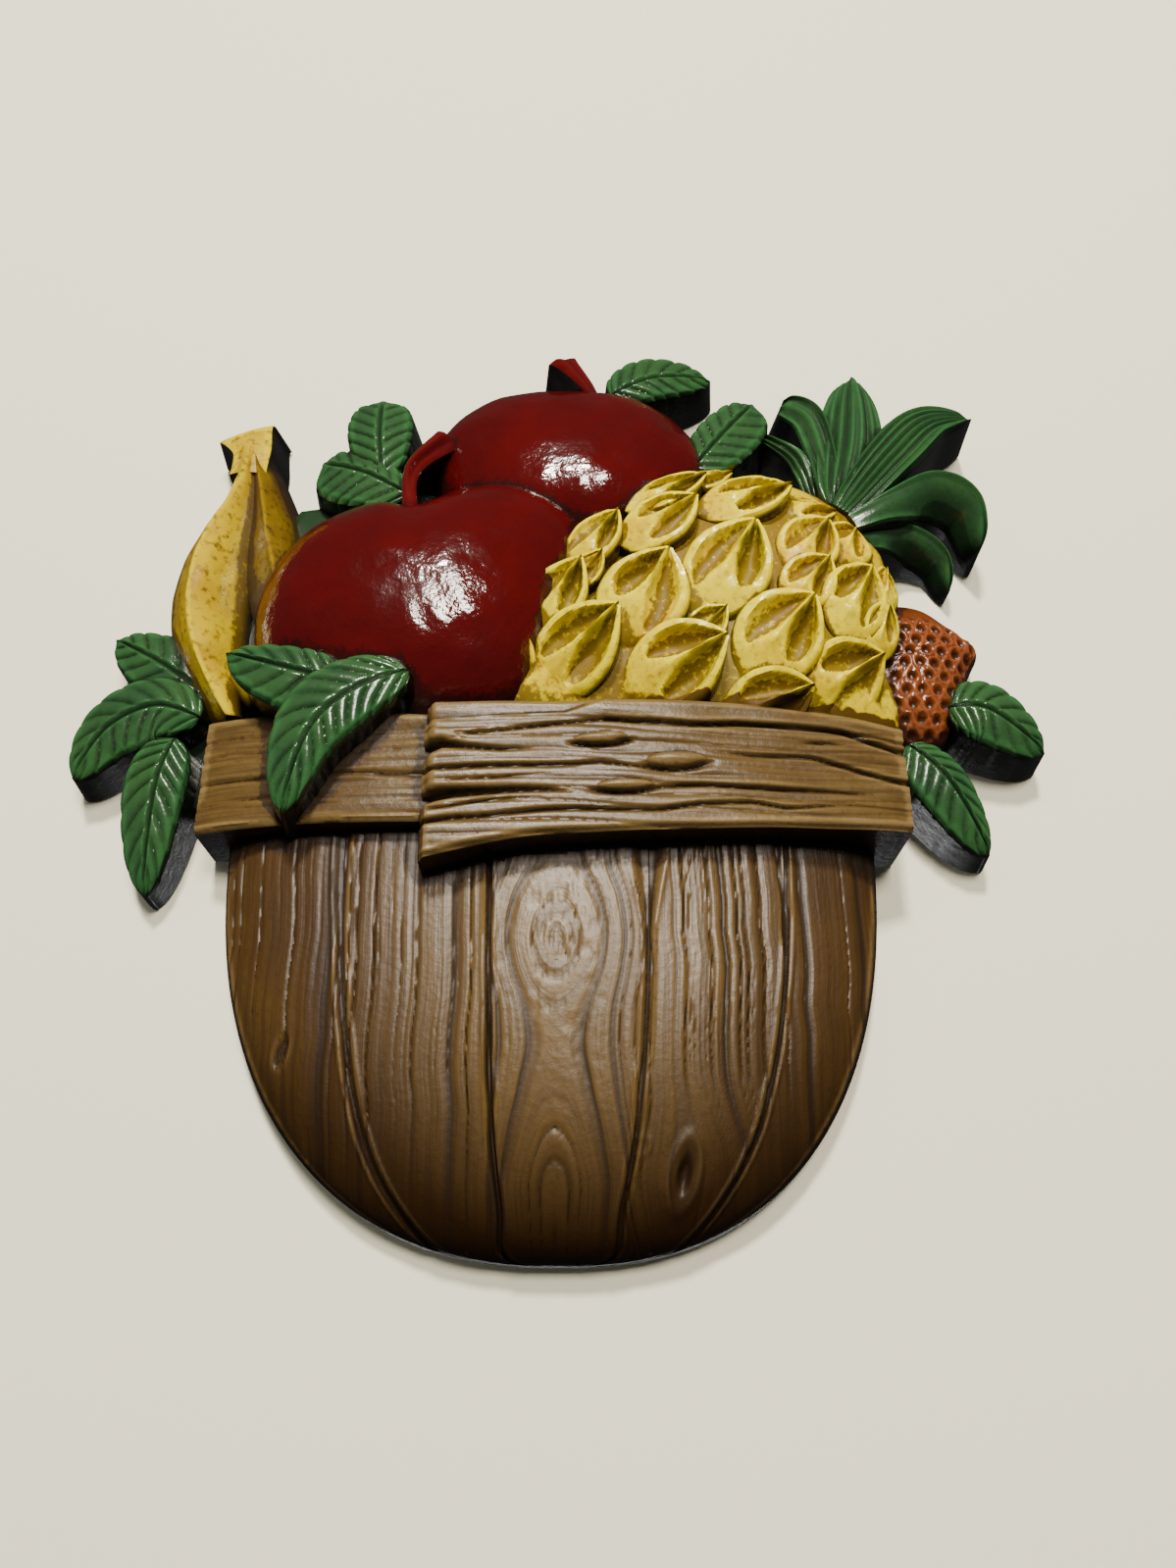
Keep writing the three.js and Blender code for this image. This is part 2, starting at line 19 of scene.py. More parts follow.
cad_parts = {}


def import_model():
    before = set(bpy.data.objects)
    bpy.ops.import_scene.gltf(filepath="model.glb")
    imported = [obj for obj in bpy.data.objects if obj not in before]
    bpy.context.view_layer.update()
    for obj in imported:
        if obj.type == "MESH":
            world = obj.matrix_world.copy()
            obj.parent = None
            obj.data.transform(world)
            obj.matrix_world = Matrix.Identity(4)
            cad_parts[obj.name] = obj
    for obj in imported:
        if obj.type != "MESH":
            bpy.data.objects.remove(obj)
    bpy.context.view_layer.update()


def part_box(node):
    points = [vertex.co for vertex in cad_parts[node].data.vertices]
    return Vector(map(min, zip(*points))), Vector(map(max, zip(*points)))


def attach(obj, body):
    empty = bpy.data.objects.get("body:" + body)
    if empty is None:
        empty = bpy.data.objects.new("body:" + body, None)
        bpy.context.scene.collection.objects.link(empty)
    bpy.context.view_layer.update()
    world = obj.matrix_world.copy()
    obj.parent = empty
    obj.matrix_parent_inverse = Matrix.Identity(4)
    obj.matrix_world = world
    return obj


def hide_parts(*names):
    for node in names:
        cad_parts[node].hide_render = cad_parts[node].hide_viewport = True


log = logging.getLogger("plaque")

MM = 0.001
CASTING_NODE = "fruit_basket_casting"
BASKET_DEPTH = 90.5  # rim level down to the foot
FOOT_DROP = 90.35  # where the lowest carved row lies
OVERRUN = 2.0  # how far a form runs behind the wall plane before the back is trimmed
WALL = 4.0  # the casting's wall
DRAFT = 0.12  # a side wall leans out by this much for each millimetre of height
CREASE = math.radians(40)  # faces that meet at less than this are shaded as one
WALL_RINGS = ((0.03, 0.97), (0.97, 0.0))  # each ring's share of the lean and the depth that is left

Field = np.ndarray
Surface = Callable[[Field, Field], tuple[Field, Field, Field]]
Points = Sequence[tuple[float, float]]
Detail = Callable[[Field, Field, Field], Field]
Colour = tuple[float, float, float, float]
Tree = bpy.types.NodeTree
Socket = bpy.types.NodeSocket
Tint = Colour | Socket


# ---------------------------------------------------------------- shapes in numbers


def smooth(low: float, high: float, value: Field) -> Field:
    """Rises smoothly from 0 at low to 1 at high."""
    t = np.clip((value - low) / (high - low), 0, 1)
    return t * t * (3 - 2 * t)


def bump(value: Field, width: float) -> Field:
    """A soft bump of height 1 at value 0, about twice width across."""
    return np.exp(-((value / width) ** 2))


def lerp(a: float | Field, b: float | Field, t: float | Field) -> Field:
    """The value a share t of the way from a to b."""
    return a + (b - a) * t


def along(values: tuple[float, float, float], t: Field) -> Field:
    """The value at t along three values: start, middle and end."""
    a, b, c = values
    return a * (1 - t) * (1 - 2 * t) + 4 * b * t * (1 - t) + c * t * (2 * t - 1)


def scatter(cell: Field, seed: float) -> Field:
    """A fixed random number from -1 to 1 for each whole-numbered cell."""
    return 2 * np.modf(np.abs(np.sin(cell * 12.9898 + seed * 78.233) * 43758.5453))[0] - 1


def wave(value: Field, seed: float) -> Field:
    """Smooth random values from -1 to 1 along a line, one for each unit."""
    cell = np.floor(value)
    f = value - cell
    return lerp(scatter(cell, seed), scatter(cell + 1, seed), f * f * (3 - 2 * f))


def cloud(x: Field, z: Field, seed: float) -> Field:
    """Smooth random values from -1 to 1 over a plane, one for each square unit."""
    row = np.floor(z)
    f = z - row
    low = wave(x + 7.3 * scatter(row, seed + 1), seed)
    high = wave(x + 7.3 * scatter(row + 1, seed + 1), seed)
    return lerp(low, high, f * f * (3 - 2 * f))


def spline(points: Points, t: Field) -> tuple[Field, Field]:
    """Follows a smooth curve through a few points.

    Args:
        points: the points in plan, in order.
        t: where along the curve, from 0 to 1.

    Returns:
        The places and the unit directions there, each an array of pairs.
    """
    p = np.asarray(points, float)
    last = len(p) - 1
    place = np.clip(t, 0, 1) * last
    i = np.minimum(place.astype(int), last - 1)
    w = (place - i)[..., None]
    before, start, end, after = p[np.maximum(i - 1, 0)], p[i], p[i + 1], p[np.minimum(i + 2, last)]
    v0, v1 = (end - before) / 2, (after - start) / 2
    cubic, square = 2 * start - 2 * end + v0 + v1, -3 * start + 3 * end - 2 * v0 - v1
    position = ((cubic * w + square) * w + v0) * w + start
    direction = (3 * cubic * w + 2 * square) * w + v0
    return position, direction / np.linalg.norm(direction, axis=-1, keepdims=True)


def closed_curve(points: Points, count: int = 360) -> Field:
    """Points along a smooth closed curve through a few corner points."""
    loop = [points[-1], *points, *points[:2]]
    share = (1 + np.arange(count) * len(points) / count) / (len(loop) - 1)
    return spline(loop, share)[0]


def beside(position: Field, direction: Field, reach: Field) -> tuple[Field, Field]:
    """The places at a distance to the left of a curve's points."""
    return position[..., 0] - direction[..., 1] * reach, position[..., 1] + direction[..., 0] * reach


# ---------------------------------------------------------------- finishes, with painted light and shade


def linear(hex_colour: str) -> Colour:
    """Turns an sRGB hex colour into the linear colour that a shader takes."""
    parts = [int(hex_colour[i : i + 2], 16) / 255 for i in (1, 3, 5)]
    turned = [c / 12.92 if c <= 0.04045 else ((c + 0.055) / 1.055) ** 2.4 for c in parts]
    return (*turned, 1.0)


def add_node(tree: Tree, kind: str, settings: dict, links: dict) -> bpy.types.Node:
    """Adds one node to a material.

    Args:
        tree: the material's node tree.
        kind: the node's type name.
        settings: its properties by name, or its inputs' values by socket name or number.
        links: the output socket that feeds each input, by input name or number.

    Returns:
        The new node.
    """
    node = tree.nodes.new(kind)
    for key, value in settings.items():
        if isinstance(key, str) and hasattr(node, key):
            setattr(node, key, value)
        else:
            node.inputs[key].default_value = value
    for key, socket in links.items():
        tree.links.new(socket, node.inputs[key])
    return node


class Layer(Enum):
    """The vertex layers that tell the paint what lies where on the casting."""

    WASH = "wash"  # narrow hollows, full of brown wash, and broad recesses between forms, where the brown is partly painted shade
    RUB = "wear_and_highlight"  # painted highlight, partly wear: raised lines facing the front are made lighter
    SHADE = "shade"  # painted shade: steep walls and deep corners made nearly black, the walls partly their own dark paint
    FURROW = "furrow"  # how near a cut of the wood grain lies, in widths of a cut
    GRAIN = "grain"  # each carved wood face's places across and along its grain


@dataclass(frozen=True)
class Tone:
    """A tone laid over a paint about one place or level, for the darker foot and the lighter belly, both
    partly painted light: full at near_mm and gone by far_mm.
    """

    colour: str
    near_mm: float
    far_mm: float

    def span(self, zero: float = 0.0) -> tuple[float, float]:
        """Where it is full and where it has gone, in metres from a level or place."""
        return zero + self.near_mm * MM, zero + self.far_mm * MM


STAVE_STEP = 10.0  # how far apart the staves' fine grains lie in the noise
HOOP_STEP = 70.0  # the same for the hoop's
NO_CUT = 9.0  # a furrow value that is too far from any cut to hold brown
WEAR_AND_SHEEN_PLACE = (3.0, -36.0)  # the middle of the belly's lighter patch: a painted sheen, partly wear
WEAR_AND_SHEEN_SQUASH = 0.8  # how much closer the patch counts a place above or below its middle


@dataclass(frozen=True)
class Enamel:
    """Gloss alkyd enamel brushed on a metal casting, then wiped over with a thin brown wash.

    The enamel is thick and shiny and pools a little, so its highlights break up into dabs; the wash
    is duller, stays in the hollows and flecks the open faces. Its colour also holds painted light: a
    painted highlight on raised lines and a painted sheen on the belly, both partly wear; painted shade
    on steep walls and in deep corners, the walls partly their own dark paint; and a darker foot that
    is partly painted shade.
    """

    name: str
    colour: str
    drift: str  # the tone that it drifts to in patches
    ridge_wear_and_highlight: str  # the lighter tone on raised lines: a painted highlight, partly wear
    wash: str = "#2b1a0c"
    # painted shade: the near-black of steep walls and deep corners, the walls partly their own dark paint
    shade: str = "#14110d"
    wash_share: float = 0.85  # how much brown the hollows hold
    flecks: float = 0.25  # how much the brown flecks the open faces
    fleck_mm: float = 1.1
    patch_mm: float = 14.0  # the drift's patches
    dab_mm: float = 3.0  # the brush dabs in the shine
    dab_depth_mm: float = 0.05
    peel_mm: float = 0.9  # the orange peel's dimples
    peel_depth_mm: float = 0.05
    roughness: tuple[float, float] = (0.2, 0.42)
    foot: Tone | None = None  # the darker tone at the basket's foot, partly its paint and partly painted shade, if it has one
    wear_and_sheen: Tone | None = None  # the lighter tone of the belly's middle, a painted sheen and partly wear, if it has one
    wear_and_highlight_share: float = 0.75  # how strongly the raised lines take their painted highlight and wear
    specular: float = 0.5
    foot_specular: float = 0.12
    stipple: float = 0.9  # how much the wash breaks up at its edges
    grain_depth_mm: float = 0.0  # the fine wood grain under the paint, if it has one
    line_share: float = 0.35  # how much brown the fine grain's lines hold
    cut_share: float = 0.8  # how much brown the carved cuts hold
    wash_below_mm: float | None = None  # a band of wash covers it up to this level above the rim

    def material(self, layout: "Layout") -> bpy.types.Material:
        """Builds the enamel's material.

        Args:
            layout: gives the levels of the basket's foot and rim.

        Returns:
            The material.
        """
        made = bpy.data.materials.new(self.name)
        made.use_nodes = True
        tree = made.node_tree
        shader = tree.nodes["Principled BSDF"]
        shader.inputs["Specular IOR Level"].default_value = self.specular
        where = add_node(tree, "ShaderNodeTexCoord", {}, {}).outputs["Object"]
        height = add_node(tree, "ShaderNodeSeparateXYZ", {}, {0: where}).outputs["Z"]
        patches = self.noise(tree, where, self.patch_mm, 3)
        lines = self.grain(tree) if self.grain_depth_mm else None
        wash = self.washed(tree, where, height, lines, layout)
        colour = self.tones(tree, where, height, patches, layout)
        colour = self.blend(tree, wash, colour, linear(self.wash), (0, 1))
        # painted shade: steep walls and deep corners go nearly black, the walls partly their own dark paint
        colour = self.blend(tree, self.layer(tree, Layer.SHADE), colour, linear(self.shade), (0, 1))
        tree.links.new(colour, shader.inputs["Base Color"])
        dull = self.maths(tree, "MAXIMUM", wash, self.ramp(tree, patches, (0.4, 1.0)))
        tree.links.new(self.ramp(tree, dull, (0, 1), self.roughness), shader.inputs["Roughness"])
        if self.foot:
            shine = (self.foot_specular, self.specular)
            dim = self.ramp(tree, height, self.foot.span(layout.foot_z), shine)
            tree.links.new(dim, shader.inputs["Specular IOR Level"])
        tree.links.new(self.relief(tree, where, lines), shader.inputs["Normal"])
        return made

    def tones(self, tree: Tree, where: Socket, height: Socket, patches: Socket, layout: "Layout") -> Socket:
        """The enamel's colour under the wash: its own tones, a painted highlight on raised lines and a
        painted sheen on the belly, both partly wear, and a darker foot that is partly painted shade.

        Args:
            tree: the material's node tree.
            where: gives the place on the casting.
            height: gives the level.
            patches: the noise that the colour drifts by.
            layout: gives the levels of the basket's foot and rim.

        Returns:
            The colour's output socket.
        """
        colour = self.blend(tree, patches, linear(self.colour), linear(self.drift), (0.38, 0.62))
        # painted highlight, partly wear: raised lines facing the front take the lighter tone
        wear_and_highlight = self.maths(tree, "MULTIPLY", self.layer(tree, Layer.RUB), self.wear_and_highlight_share)
        colour = self.blend(tree, wear_and_highlight, colour, linear(self.ridge_wear_and_highlight), (0, 1))
        # darker towards the foot: partly the paint's own tone, partly painted shade
        if self.foot:
            colour = self.blend(tree, height, linear(self.foot.colour), colour, self.foot.span(layout.foot_z))
        # painted sheen, partly wear: the belly's middle takes a lighter tone
        if self.wear_and_sheen:
            level = WEAR_AND_SHEEN_SQUASH * (layout.rim_z + WEAR_AND_SHEEN_PLACE[1] * MM)
            squashed = {"operation": "MULTIPLY", 1: (1.0, 0.0, WEAR_AND_SHEEN_SQUASH)}
            flat = add_node(tree, "ShaderNodeVectorMath", squashed, {0: where}).outputs[0]
            centre = {"operation": "DISTANCE", 1: (WEAR_AND_SHEEN_PLACE[0] * MM, 0.0, level)}
            away = add_node(tree, "ShaderNodeVectorMath", centre, {0: flat}).outputs["Value"]
            colour = self.blend(tree, away, linear(self.wear_and_sheen.colour), colour, self.wear_and_sheen.span())
        return colour

    def washed(
        self, tree: Tree, where: Socket, height: Socket, lines: Socket | None, layout: "Layout"
    ) -> Socket:
        """How much brown the paint holds: in its hollows, in flecks and in the cuts of the grain; in broad
        recesses the brown is partly painted shade.

        Args:
            tree: the material's node tree.
            where: gives the place on the casting.
            height: gives the level.
            lines: the fine grain, if it has one.
            layout: gives the level of the basket's rim.

        Returns:
            The share's output socket.
        """
        fine = self.noise(tree, where, self.fleck_mm, 4)
        flecks = self.maths(tree, "MULTIPLY", self.ramp(tree, fine, (0.52, 0.72)), self.flecks)
        broken = self.maths(tree, "MULTIPLY", self.maths(tree, "SUBTRACT", fine, 0.5), 2 * self.stipple)
        # brown wash in hollows; in broad recesses it is partly painted shade
        wash = self.maths(tree, "ADD", self.layer(tree, Layer.WASH), broken)
        wash = self.maths(tree, "MULTIPLY", self.ramp(tree, wash, (0.25, 0.85)), self.wash_share)
        wash = self.maths(tree, "MAXIMUM", wash, flecks)
        if lines is not None:
            dark = self.maths(tree, "MULTIPLY", self.ramp(tree, lines, (0.56, 0.4)), self.line_share)
            wash = self.maths(tree, "MAXIMUM", wash, dark)
            cuts = self.ramp(tree, self.layer(tree, Layer.FURROW), (1.25, 0.45))
            wash = self.maths(tree, "MAXIMUM", wash, self.maths(tree, "MULTIPLY", cuts, self.cut_share))
        if self.wash_below_mm is not None:
            wander = self.maths(tree, "MULTIPLY", self.noise(tree, where, 4.0, 2), 3 * MM)
            level = layout.rim_z + self.wash_below_mm * MM
            edge = self.ramp(tree, self.maths(tree, "ADD", height, wander), (level + 0.3 * MM, level))
            wash = self.maths(tree, "MAXIMUM", wash, edge)
        return wash

    def noise(self, tree: Tree, where: Socket, size_mm: float, detail: float) -> Socket:
        """A noise whose patches are size_mm across. Returns its output socket."""
        settings = {"Scale": 1 / (size_mm * MM), "Detail": detail, "Roughness": 0.55}
        return add_node(tree, "ShaderNodeTexNoise", settings, {"Vector": where}).outputs["Fac"]

    def layer(self, tree: Tree, layer: Layer, output: str = "Fac") -> Socket:
        """One of the casting's vertex layers. Returns the socket that gives it."""
        return add_node(tree, "ShaderNodeAttribute", {"attribute_name": layer.value}, {}).outputs[output]

    def grain(self, tree: Tree) -> Socket:
        """The fine grain: lines about a millimetre apart that follow the carved grain."""
        stretch = {"operation": "MULTIPLY", 1: (0.95, 0.035, 1.0)}
        places = {0: self.layer(tree, Layer.GRAIN, "Vector")}
        lines = add_node(tree, "ShaderNodeVectorMath", stretch, places).outputs[0]
        settings = {"Scale": 1.0, "Detail": 2.0, "Roughness": 0.6, "Distortion": 0.15}
        return add_node(tree, "ShaderNodeTexNoise", settings, {"Vector": lines}).outputs["Fac"]

    def maths(self, tree: Tree, step: str, value: Socket, by: Socket | float) -> Socket:
        """One step of arithmetic with a number or another socket. Returns its output socket."""
        linked = isinstance(by, Socket)
        settings = {"operation": step} if linked else {"operation": step, 1: by}
        links = {0: value, 1: by} if linked else {0: value}
        return add_node(tree, "ShaderNodeMath", settings, links).outputs[0]

    def ramp(
        self, tree: Tree, value: Socket, span: tuple[float, float], to: tuple[float, float] = (0.0, 1.0)
    ) -> Socket:
        """Stretches the part of a value inside span over the range to. Returns its output socket."""
        settings = {"From Min": span[0], "From Max": span[1], "To Min": to[0], "To Max": to[1]}
        return add_node(tree, "ShaderNodeMapRange", settings, {"Value": value}).outputs["Result"]

    def blend(
        self, tree: Tree, share: Socket, low: Tint, high: Tint, span: tuple[float, float]
    ) -> Socket:
        """Mixes two colours.

        Args:
            tree: the material's node tree.
            share: says how much of each there is.
            low: the colour where share is at the start of span.
            high: the colour where share is at the end of span.
            span: the part of share that the mix runs over.

        Returns:
            The mixed colour's output socket.
        """
        node = add_node(tree, "ShaderNodeMix", {"data_type": "RGBA"}, {0: self.ramp(tree, share, span)})
        for number, colour in ((6, low), (7, high)):
            if isinstance(colour, Socket):
                tree.links.new(colour, node.inputs[number])
            else:
                node.inputs[number].default_value = colour
        return node.outputs[2]

    def relief(self, tree: Tree, where: Socket, lines: Socket | None) -> Socket:
        """The paint's own surface: shallow dabs, an orange peel and the fine grain. Returns a normal."""
        settings = {"Scale": 1 / (self.dab_mm * MM), "feature": "SMOOTH_F1", "Smoothness": 0.35}
        dabs = add_node(tree, "ShaderNodeTexVoronoi", settings, {"Vector": where}).outputs["Distance"]
        peel = self.noise(tree, where, self.peel_mm, 2)
        normal = self.bumped(tree, dabs, self.dab_depth_mm)
        normal = self.bumped(tree, peel, self.peel_depth_mm, normal)
        return normal if lines is None else self.bumped(tree, lines, self.grain_depth_mm, normal)

    def bumped(self, tree: Tree, height: Socket, depth_mm: float, below: Socket | None = None) -> Socket:
        """Raises a normal, or the casting's own, by a height that runs over depth_mm."""
        links = {"Height": height} if below is None else {"Height": height, "Normal": below}
        return add_node(tree, "ShaderNodeBump", {"Distance": depth_mm * MM}, links).outputs["Normal"]


@dataclass(frozen=True)
class BareCasting:
    """The unpainted back: sand-cast metal, dull grey, with a grainy skin."""

    name: str = "sand_cast_metal"
    colour: str = "#5c5a56"
    stain: str = "#3d3a36"
    stains: float = 60.0  # in a metre, so each is about 17 mm across
    grain_mm: float = 0.8  # coarser than moulding sand, so that it shows
    skin_mm: float = 0.15  # how deep the grain is
    roughness: tuple[float, float] = (0.5, 0.75)
    metallic: float = 0.7

    def material(self) -> bpy.types.Material:
        """Builds the bare metal's material."""
        made = bpy.data.materials.new(self.name)
        made.use_nodes = True
        tree = made.node_tree
        shader = tree.nodes["Principled BSDF"]
        shader.inputs["Metallic"].default_value = self.metallic
        where = {"Vector": add_node(tree, "ShaderNodeTexCoord", {}, {}).outputs["Object"]}
        size = {"Scale": 1 / (self.grain_mm * MM), "Detail": 4.0}
        sand = add_node(tree, "ShaderNodeTexNoise", size, where).outputs["Fac"]
        stain = add_node(tree, "ShaderNodeTexNoise", {"Scale": self.stains, "Detail": 3.0}, where)
        tones = {"data_type": "RGBA", 6: linear(self.colour), 7: linear(self.stain)}
        colour = add_node(tree, "ShaderNodeMix", tones, {0: stain.outputs["Fac"]})
        tree.links.new(colour.outputs[2], shader.inputs["Base Color"])
        spread = {"To Min": self.roughness[0], "To Max": self.roughness[1]}
        rough = add_node(tree, "ShaderNodeMapRange", spread, {"Value": sand})
        tree.links.new(rough.outputs["Result"], shader.inputs["Roughness"])
        skin = {"Strength": 0.8, "Distance": self.skin_mm * MM}
        raised = add_node(tree, "ShaderNodeBump", skin, {"Height": sand})
        tree.links.new(raised.outputs["Normal"], shader.inputs["Normal"])
        return made


# Each paint's third tone is its lighter one on raised lines: a painted highlight, partly wear.
STAVE_BROWN = Enamel(
    "walnut_brown_enamel",
    "#453214",
    "#39260d",
    "#6d5730",
    wash="#1a0e04",
    wash_share=0.85,
    flecks=0.35,
    patch_mm=24,
    dab_mm=1.6,
    dab_depth_mm=0.03,
    peel_depth_mm=0.055,
    specular=0.44,
    roughness=(0.38, 0.58),
    # darker towards the foot: partly the paint's own tone, partly painted shade
    foot=Tone("#1c0f04", 3, 46),
    # the belly's middle lighter: a painted sheen, partly wear
    wear_and_sheen=Tone("#5d4926", 6, 42),
    grain_depth_mm=0.12,
)
HOOP_BROWN = Enamel(
    "split_wood_enamel",
    "#4a381b",
    "#53411f",
    "#746039",
    wash="#190f05",
    # painted shade on steep walls and in deep corners, the walls partly their own dark paint
    shade="#0d0905",
    flecks=0.35,
    dab_mm=1.6,
    peel_depth_mm=0.07,
    specular=0.3,
    roughness=(0.34, 0.56),
    grain_depth_mm=0.08,
)
LEAF_GREEN = Enamel(
    "bottle_green_enamel",
    "#284526",
    "#1f3921",
    "#316436",
    wash="#101d10",
    # painted shade on steep walls and in deep corners, the walls partly their own dark paint
    shade="#0c120a",
    wash_share=0.75,
    wear_and_highlight_share=0.4,
    flecks=0.3,
    stipple=0.5,
    roughness=(0.16, 0.34),
)
APPLE_RED = Enamel(
    "oxblood_enamel",
    "#430708",
    "#3b0607",
    "#4e0c0c",
    wash="#1c0706",
    flecks=0.15,
    dab_mm=4.0,
    dab_depth_mm=0.16,
    peel_mm=1.1,
    peel_depth_mm=0.09,
    roughness=(0.1, 0.26),
)
BANANA_YELLOW = Enamel(
    "banana_yellow_enamel",
    "#b29a00",
    "#8f7208",
    "#c2ac06",
    wash="#3a2509",
    flecks=0.85,
    fleck_mm=1.4,
)
REAR_BANANA_YELLOW = Enamel(
    "washed_banana_enamel",
    "#5e4a08",
    "#4a360a",
    "#7a6408",
    wash="#2a1a08",
    flecks=0.8,
    fleck_mm=1.4,
)
PINE_YELLOW = Enamel(
    "lemon_yellow_enamel",
    "#ccba00",
    "#bc9c00",
    "#dccb00",
    wash="#4c3604",
    flecks=0.5,
    wash_share=0.86,
    stipple=1.2,
    specular=0.24,
    roughness=(0.16, 0.6),
    wash_below_mm=8.5,
)
BERRY_ORANGE = Enamel("rust_orange_enamel", "#602f0e", "#52270b", "#86492a", wash="#220c05", flecks=0.15)
PAINTS = (
    STAVE_BROWN,
    HOOP_BROWN,
    LEAF_GREEN,
    APPLE_RED,
    BANANA_YELLOW,
    REAR_BANANA_YELLOW,
    PINE_YELLOW,
    BERRY_ORANGE,
)


# ---------------------------------------------------------------- carving


@dataclass(frozen=True)
class Layout:
    """Where the layout's zero lies in the frame, worked out from the casting's box."""

    foot_z: float  # metres
    wall_y: float

    @classmethod
    def from_frame(cls) -> "Layout":
        """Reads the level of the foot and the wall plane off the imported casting."""
        low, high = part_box(CASTING_NODE)
        return cls(foot_z=low.z, wall_y=high.y)

    @property
    def rim_z(self) -> float:
        """The level of the layout's zero: the basket's rim."""
        return self.foot_z + FOOT_DROP * MM

    def place(self, x: Field, h: Field, z: Field) -> Field:
        """Turns plan places and heights in millimetres into points of the frame in metres."""
        return np.stack([x * MM, self.wall_y - h * MM, self.rim_z + z * MM], axis=-1)


@dataclass
class Carver:
    """Makes the casting's forms, each from one primitive that is shaped, walled and closed."""

    layout: Layout

    def points_of(self, piece: bpy.types.Object) -> Field:
        """The piece's vertices as an array."""
        flat = np.empty(len(piece.data.vertices) * 3)
        piece.data.vertices.foreach_get("co", flat)
        return flat.reshape(-1, 3)

    def set_points(self, piece: bpy.types.Object, points: Field) -> None:
        """Puts the piece's vertices where an array says."""
        piece.data.vertices.foreach_set("co", points.ravel())
        piece.data.update()

    def sheet(
        self,
        name: str,
        size: tuple[int, int],
        surface: Surface,
        paint: Enamel | BareCasting,
        draft: float = DRAFT,
    ) -> bpy.types.Object:
        """Carves a sheet: a grid whose places and heights a function gives.

        Args:
            name: what the form is.
            size: how many columns and rows of faces it has.
            surface: gives x, z and h for shares u and v from 0 to 1.
            paint: its enamel.
            draft: how far its walls lean out for each millimetre of height.

        Returns:
            The closed form.
        """
        bpy.ops.object.select_all(action="DESELECT")
        bpy.ops.mesh.primitive_grid_add(x_subdivisions=size[0], y_subdivisions=size[1], size=1)
        piece = bpy.context.object
        grid = self.points_of(piece)
        x, z, h = surface(grid[:, 0] + 0.5, grid[:, 1] + 0.5)
        self.set_points(piece, self.layout.place(x, h, z))
        self.wall_in(piece, draft)
        return self.finish(piece, name, paint)

    def dome(
        self, name: str, form: "Dome", paint: Enamel | BareCasting, detail: Detail | None = None
    ) -> bpy.types.Object:
        """Carves a dome from half a sphere whose rim is drawn out to the form's outline.

        Args:
            name: what the form is.
            form: its outline and heights.
            paint: its enamel.
            detail: gives the height to add for x, z and the share of the way out to the rim.

        Returns:
            The closed form.
        """
        bpy.ops.object.select_all(action="DESELECT")
        bpy.ops.mesh.primitive_uv_sphere_add(segments=form.segments, ring_count=2 * form.rings, radius=1)
        piece = bpy.context.object
        bpy.ops.object.mode_set(mode="EDIT")
        bpy.ops.mesh.select_all(action="SELECT")
        # just below the equator, so that its ring of vertices stays and becomes the rim
        bpy.ops.mesh.bisect(plane_co=(0, 0, -0.001), plane_no=(0, 0, 1), clear_inner=True)
        bpy.ops.object.mode_set(mode="OBJECT")
        ball = self.points_of(piece)
        out = np.minimum(1, np.hypot(ball[:, 0], ball[:, 1]))
        x, z, h = form.at(np.arctan2(ball[:, 1], ball[:, 0]), out)
        if detail is not None:
            h = h + detail(x, z, out)
        self.set_points(piece, self.layout.place(x, h, z))
        self.wall_in(piece, DRAFT)
        return self.finish(piece, name, paint)

    def wall_in(self, piece: bpy.types.Object, draft: float) -> None:
        """Draws the piece's open rim back to behind the wall plane, leaning out, and closes it."""
        points = self.points_of(piece)
        low, high = points.min(0), points.max(0)
        centre = ((low + high) / 2).tolist()
        centre[1] = self.layout.wall_y + OVERRUN * MM
        lean = 2 * draft * (centre[1] - high[1])
        across, up = 1 + lean / (high[0] - low[0]), 1 + lean / (high[2] - low[2])
        bpy.context.view_layer.objects.active = piece
        bpy.ops.object.mode_set(mode="EDIT")
        bpy.ops.mesh.select_mode(type="EDGE")
        bpy.ops.mesh.select_all(action="SELECT")
        bpy.ops.mesh.region_to_loop()
        for share, depth in WALL_RINGS:
            bpy.ops.mesh.extrude_region_move()
            size = (1 + (across - 1) * share, depth, 1 + (up - 1) * share)
            bpy.ops.transform.resize(value=size, center_override=centre)
        bpy.ops.mesh.edge_face_add()
        bpy.ops.mesh.select_all(action="SELECT")
        bpy.ops.mesh.normals_make_consistent(inside=False)
        bpy.ops.object.mode_set(mode="OBJECT")

    def finish(self, piece: bpy.types.Object, name: str, paint: Enamel | BareCasting) -> bpy.types.Object:
        """Names a form and gives it its material."""
        piece.name = name
        piece.data.name = name
        piece.data.materials.append(bpy.data.materials[paint.name])
        log.info("carved %s: %d faces", name, len(piece.data.polygons))
        return piece

    def block(self, name: str, low: Sequence[float], high: Sequence[float]) -> bpy.types.Object:
        """A box of bare metal between two corners, given as x, h and z in millimetres."""
        a = self.layout.place(*np.array(low, float))
        b = self.layout.place(*np.array(high, float))
        bpy.ops.object.select_all(action="DESELECT")
        bpy.ops.mesh.primitive_cube_add(size=1, location=(a + b) / 2, scale=np.abs(b - a))
        bpy.ops.object.transform_apply(location=True, rotation=True, scale=True)
        return self.finish(bpy.context.object, name, BareCasting())

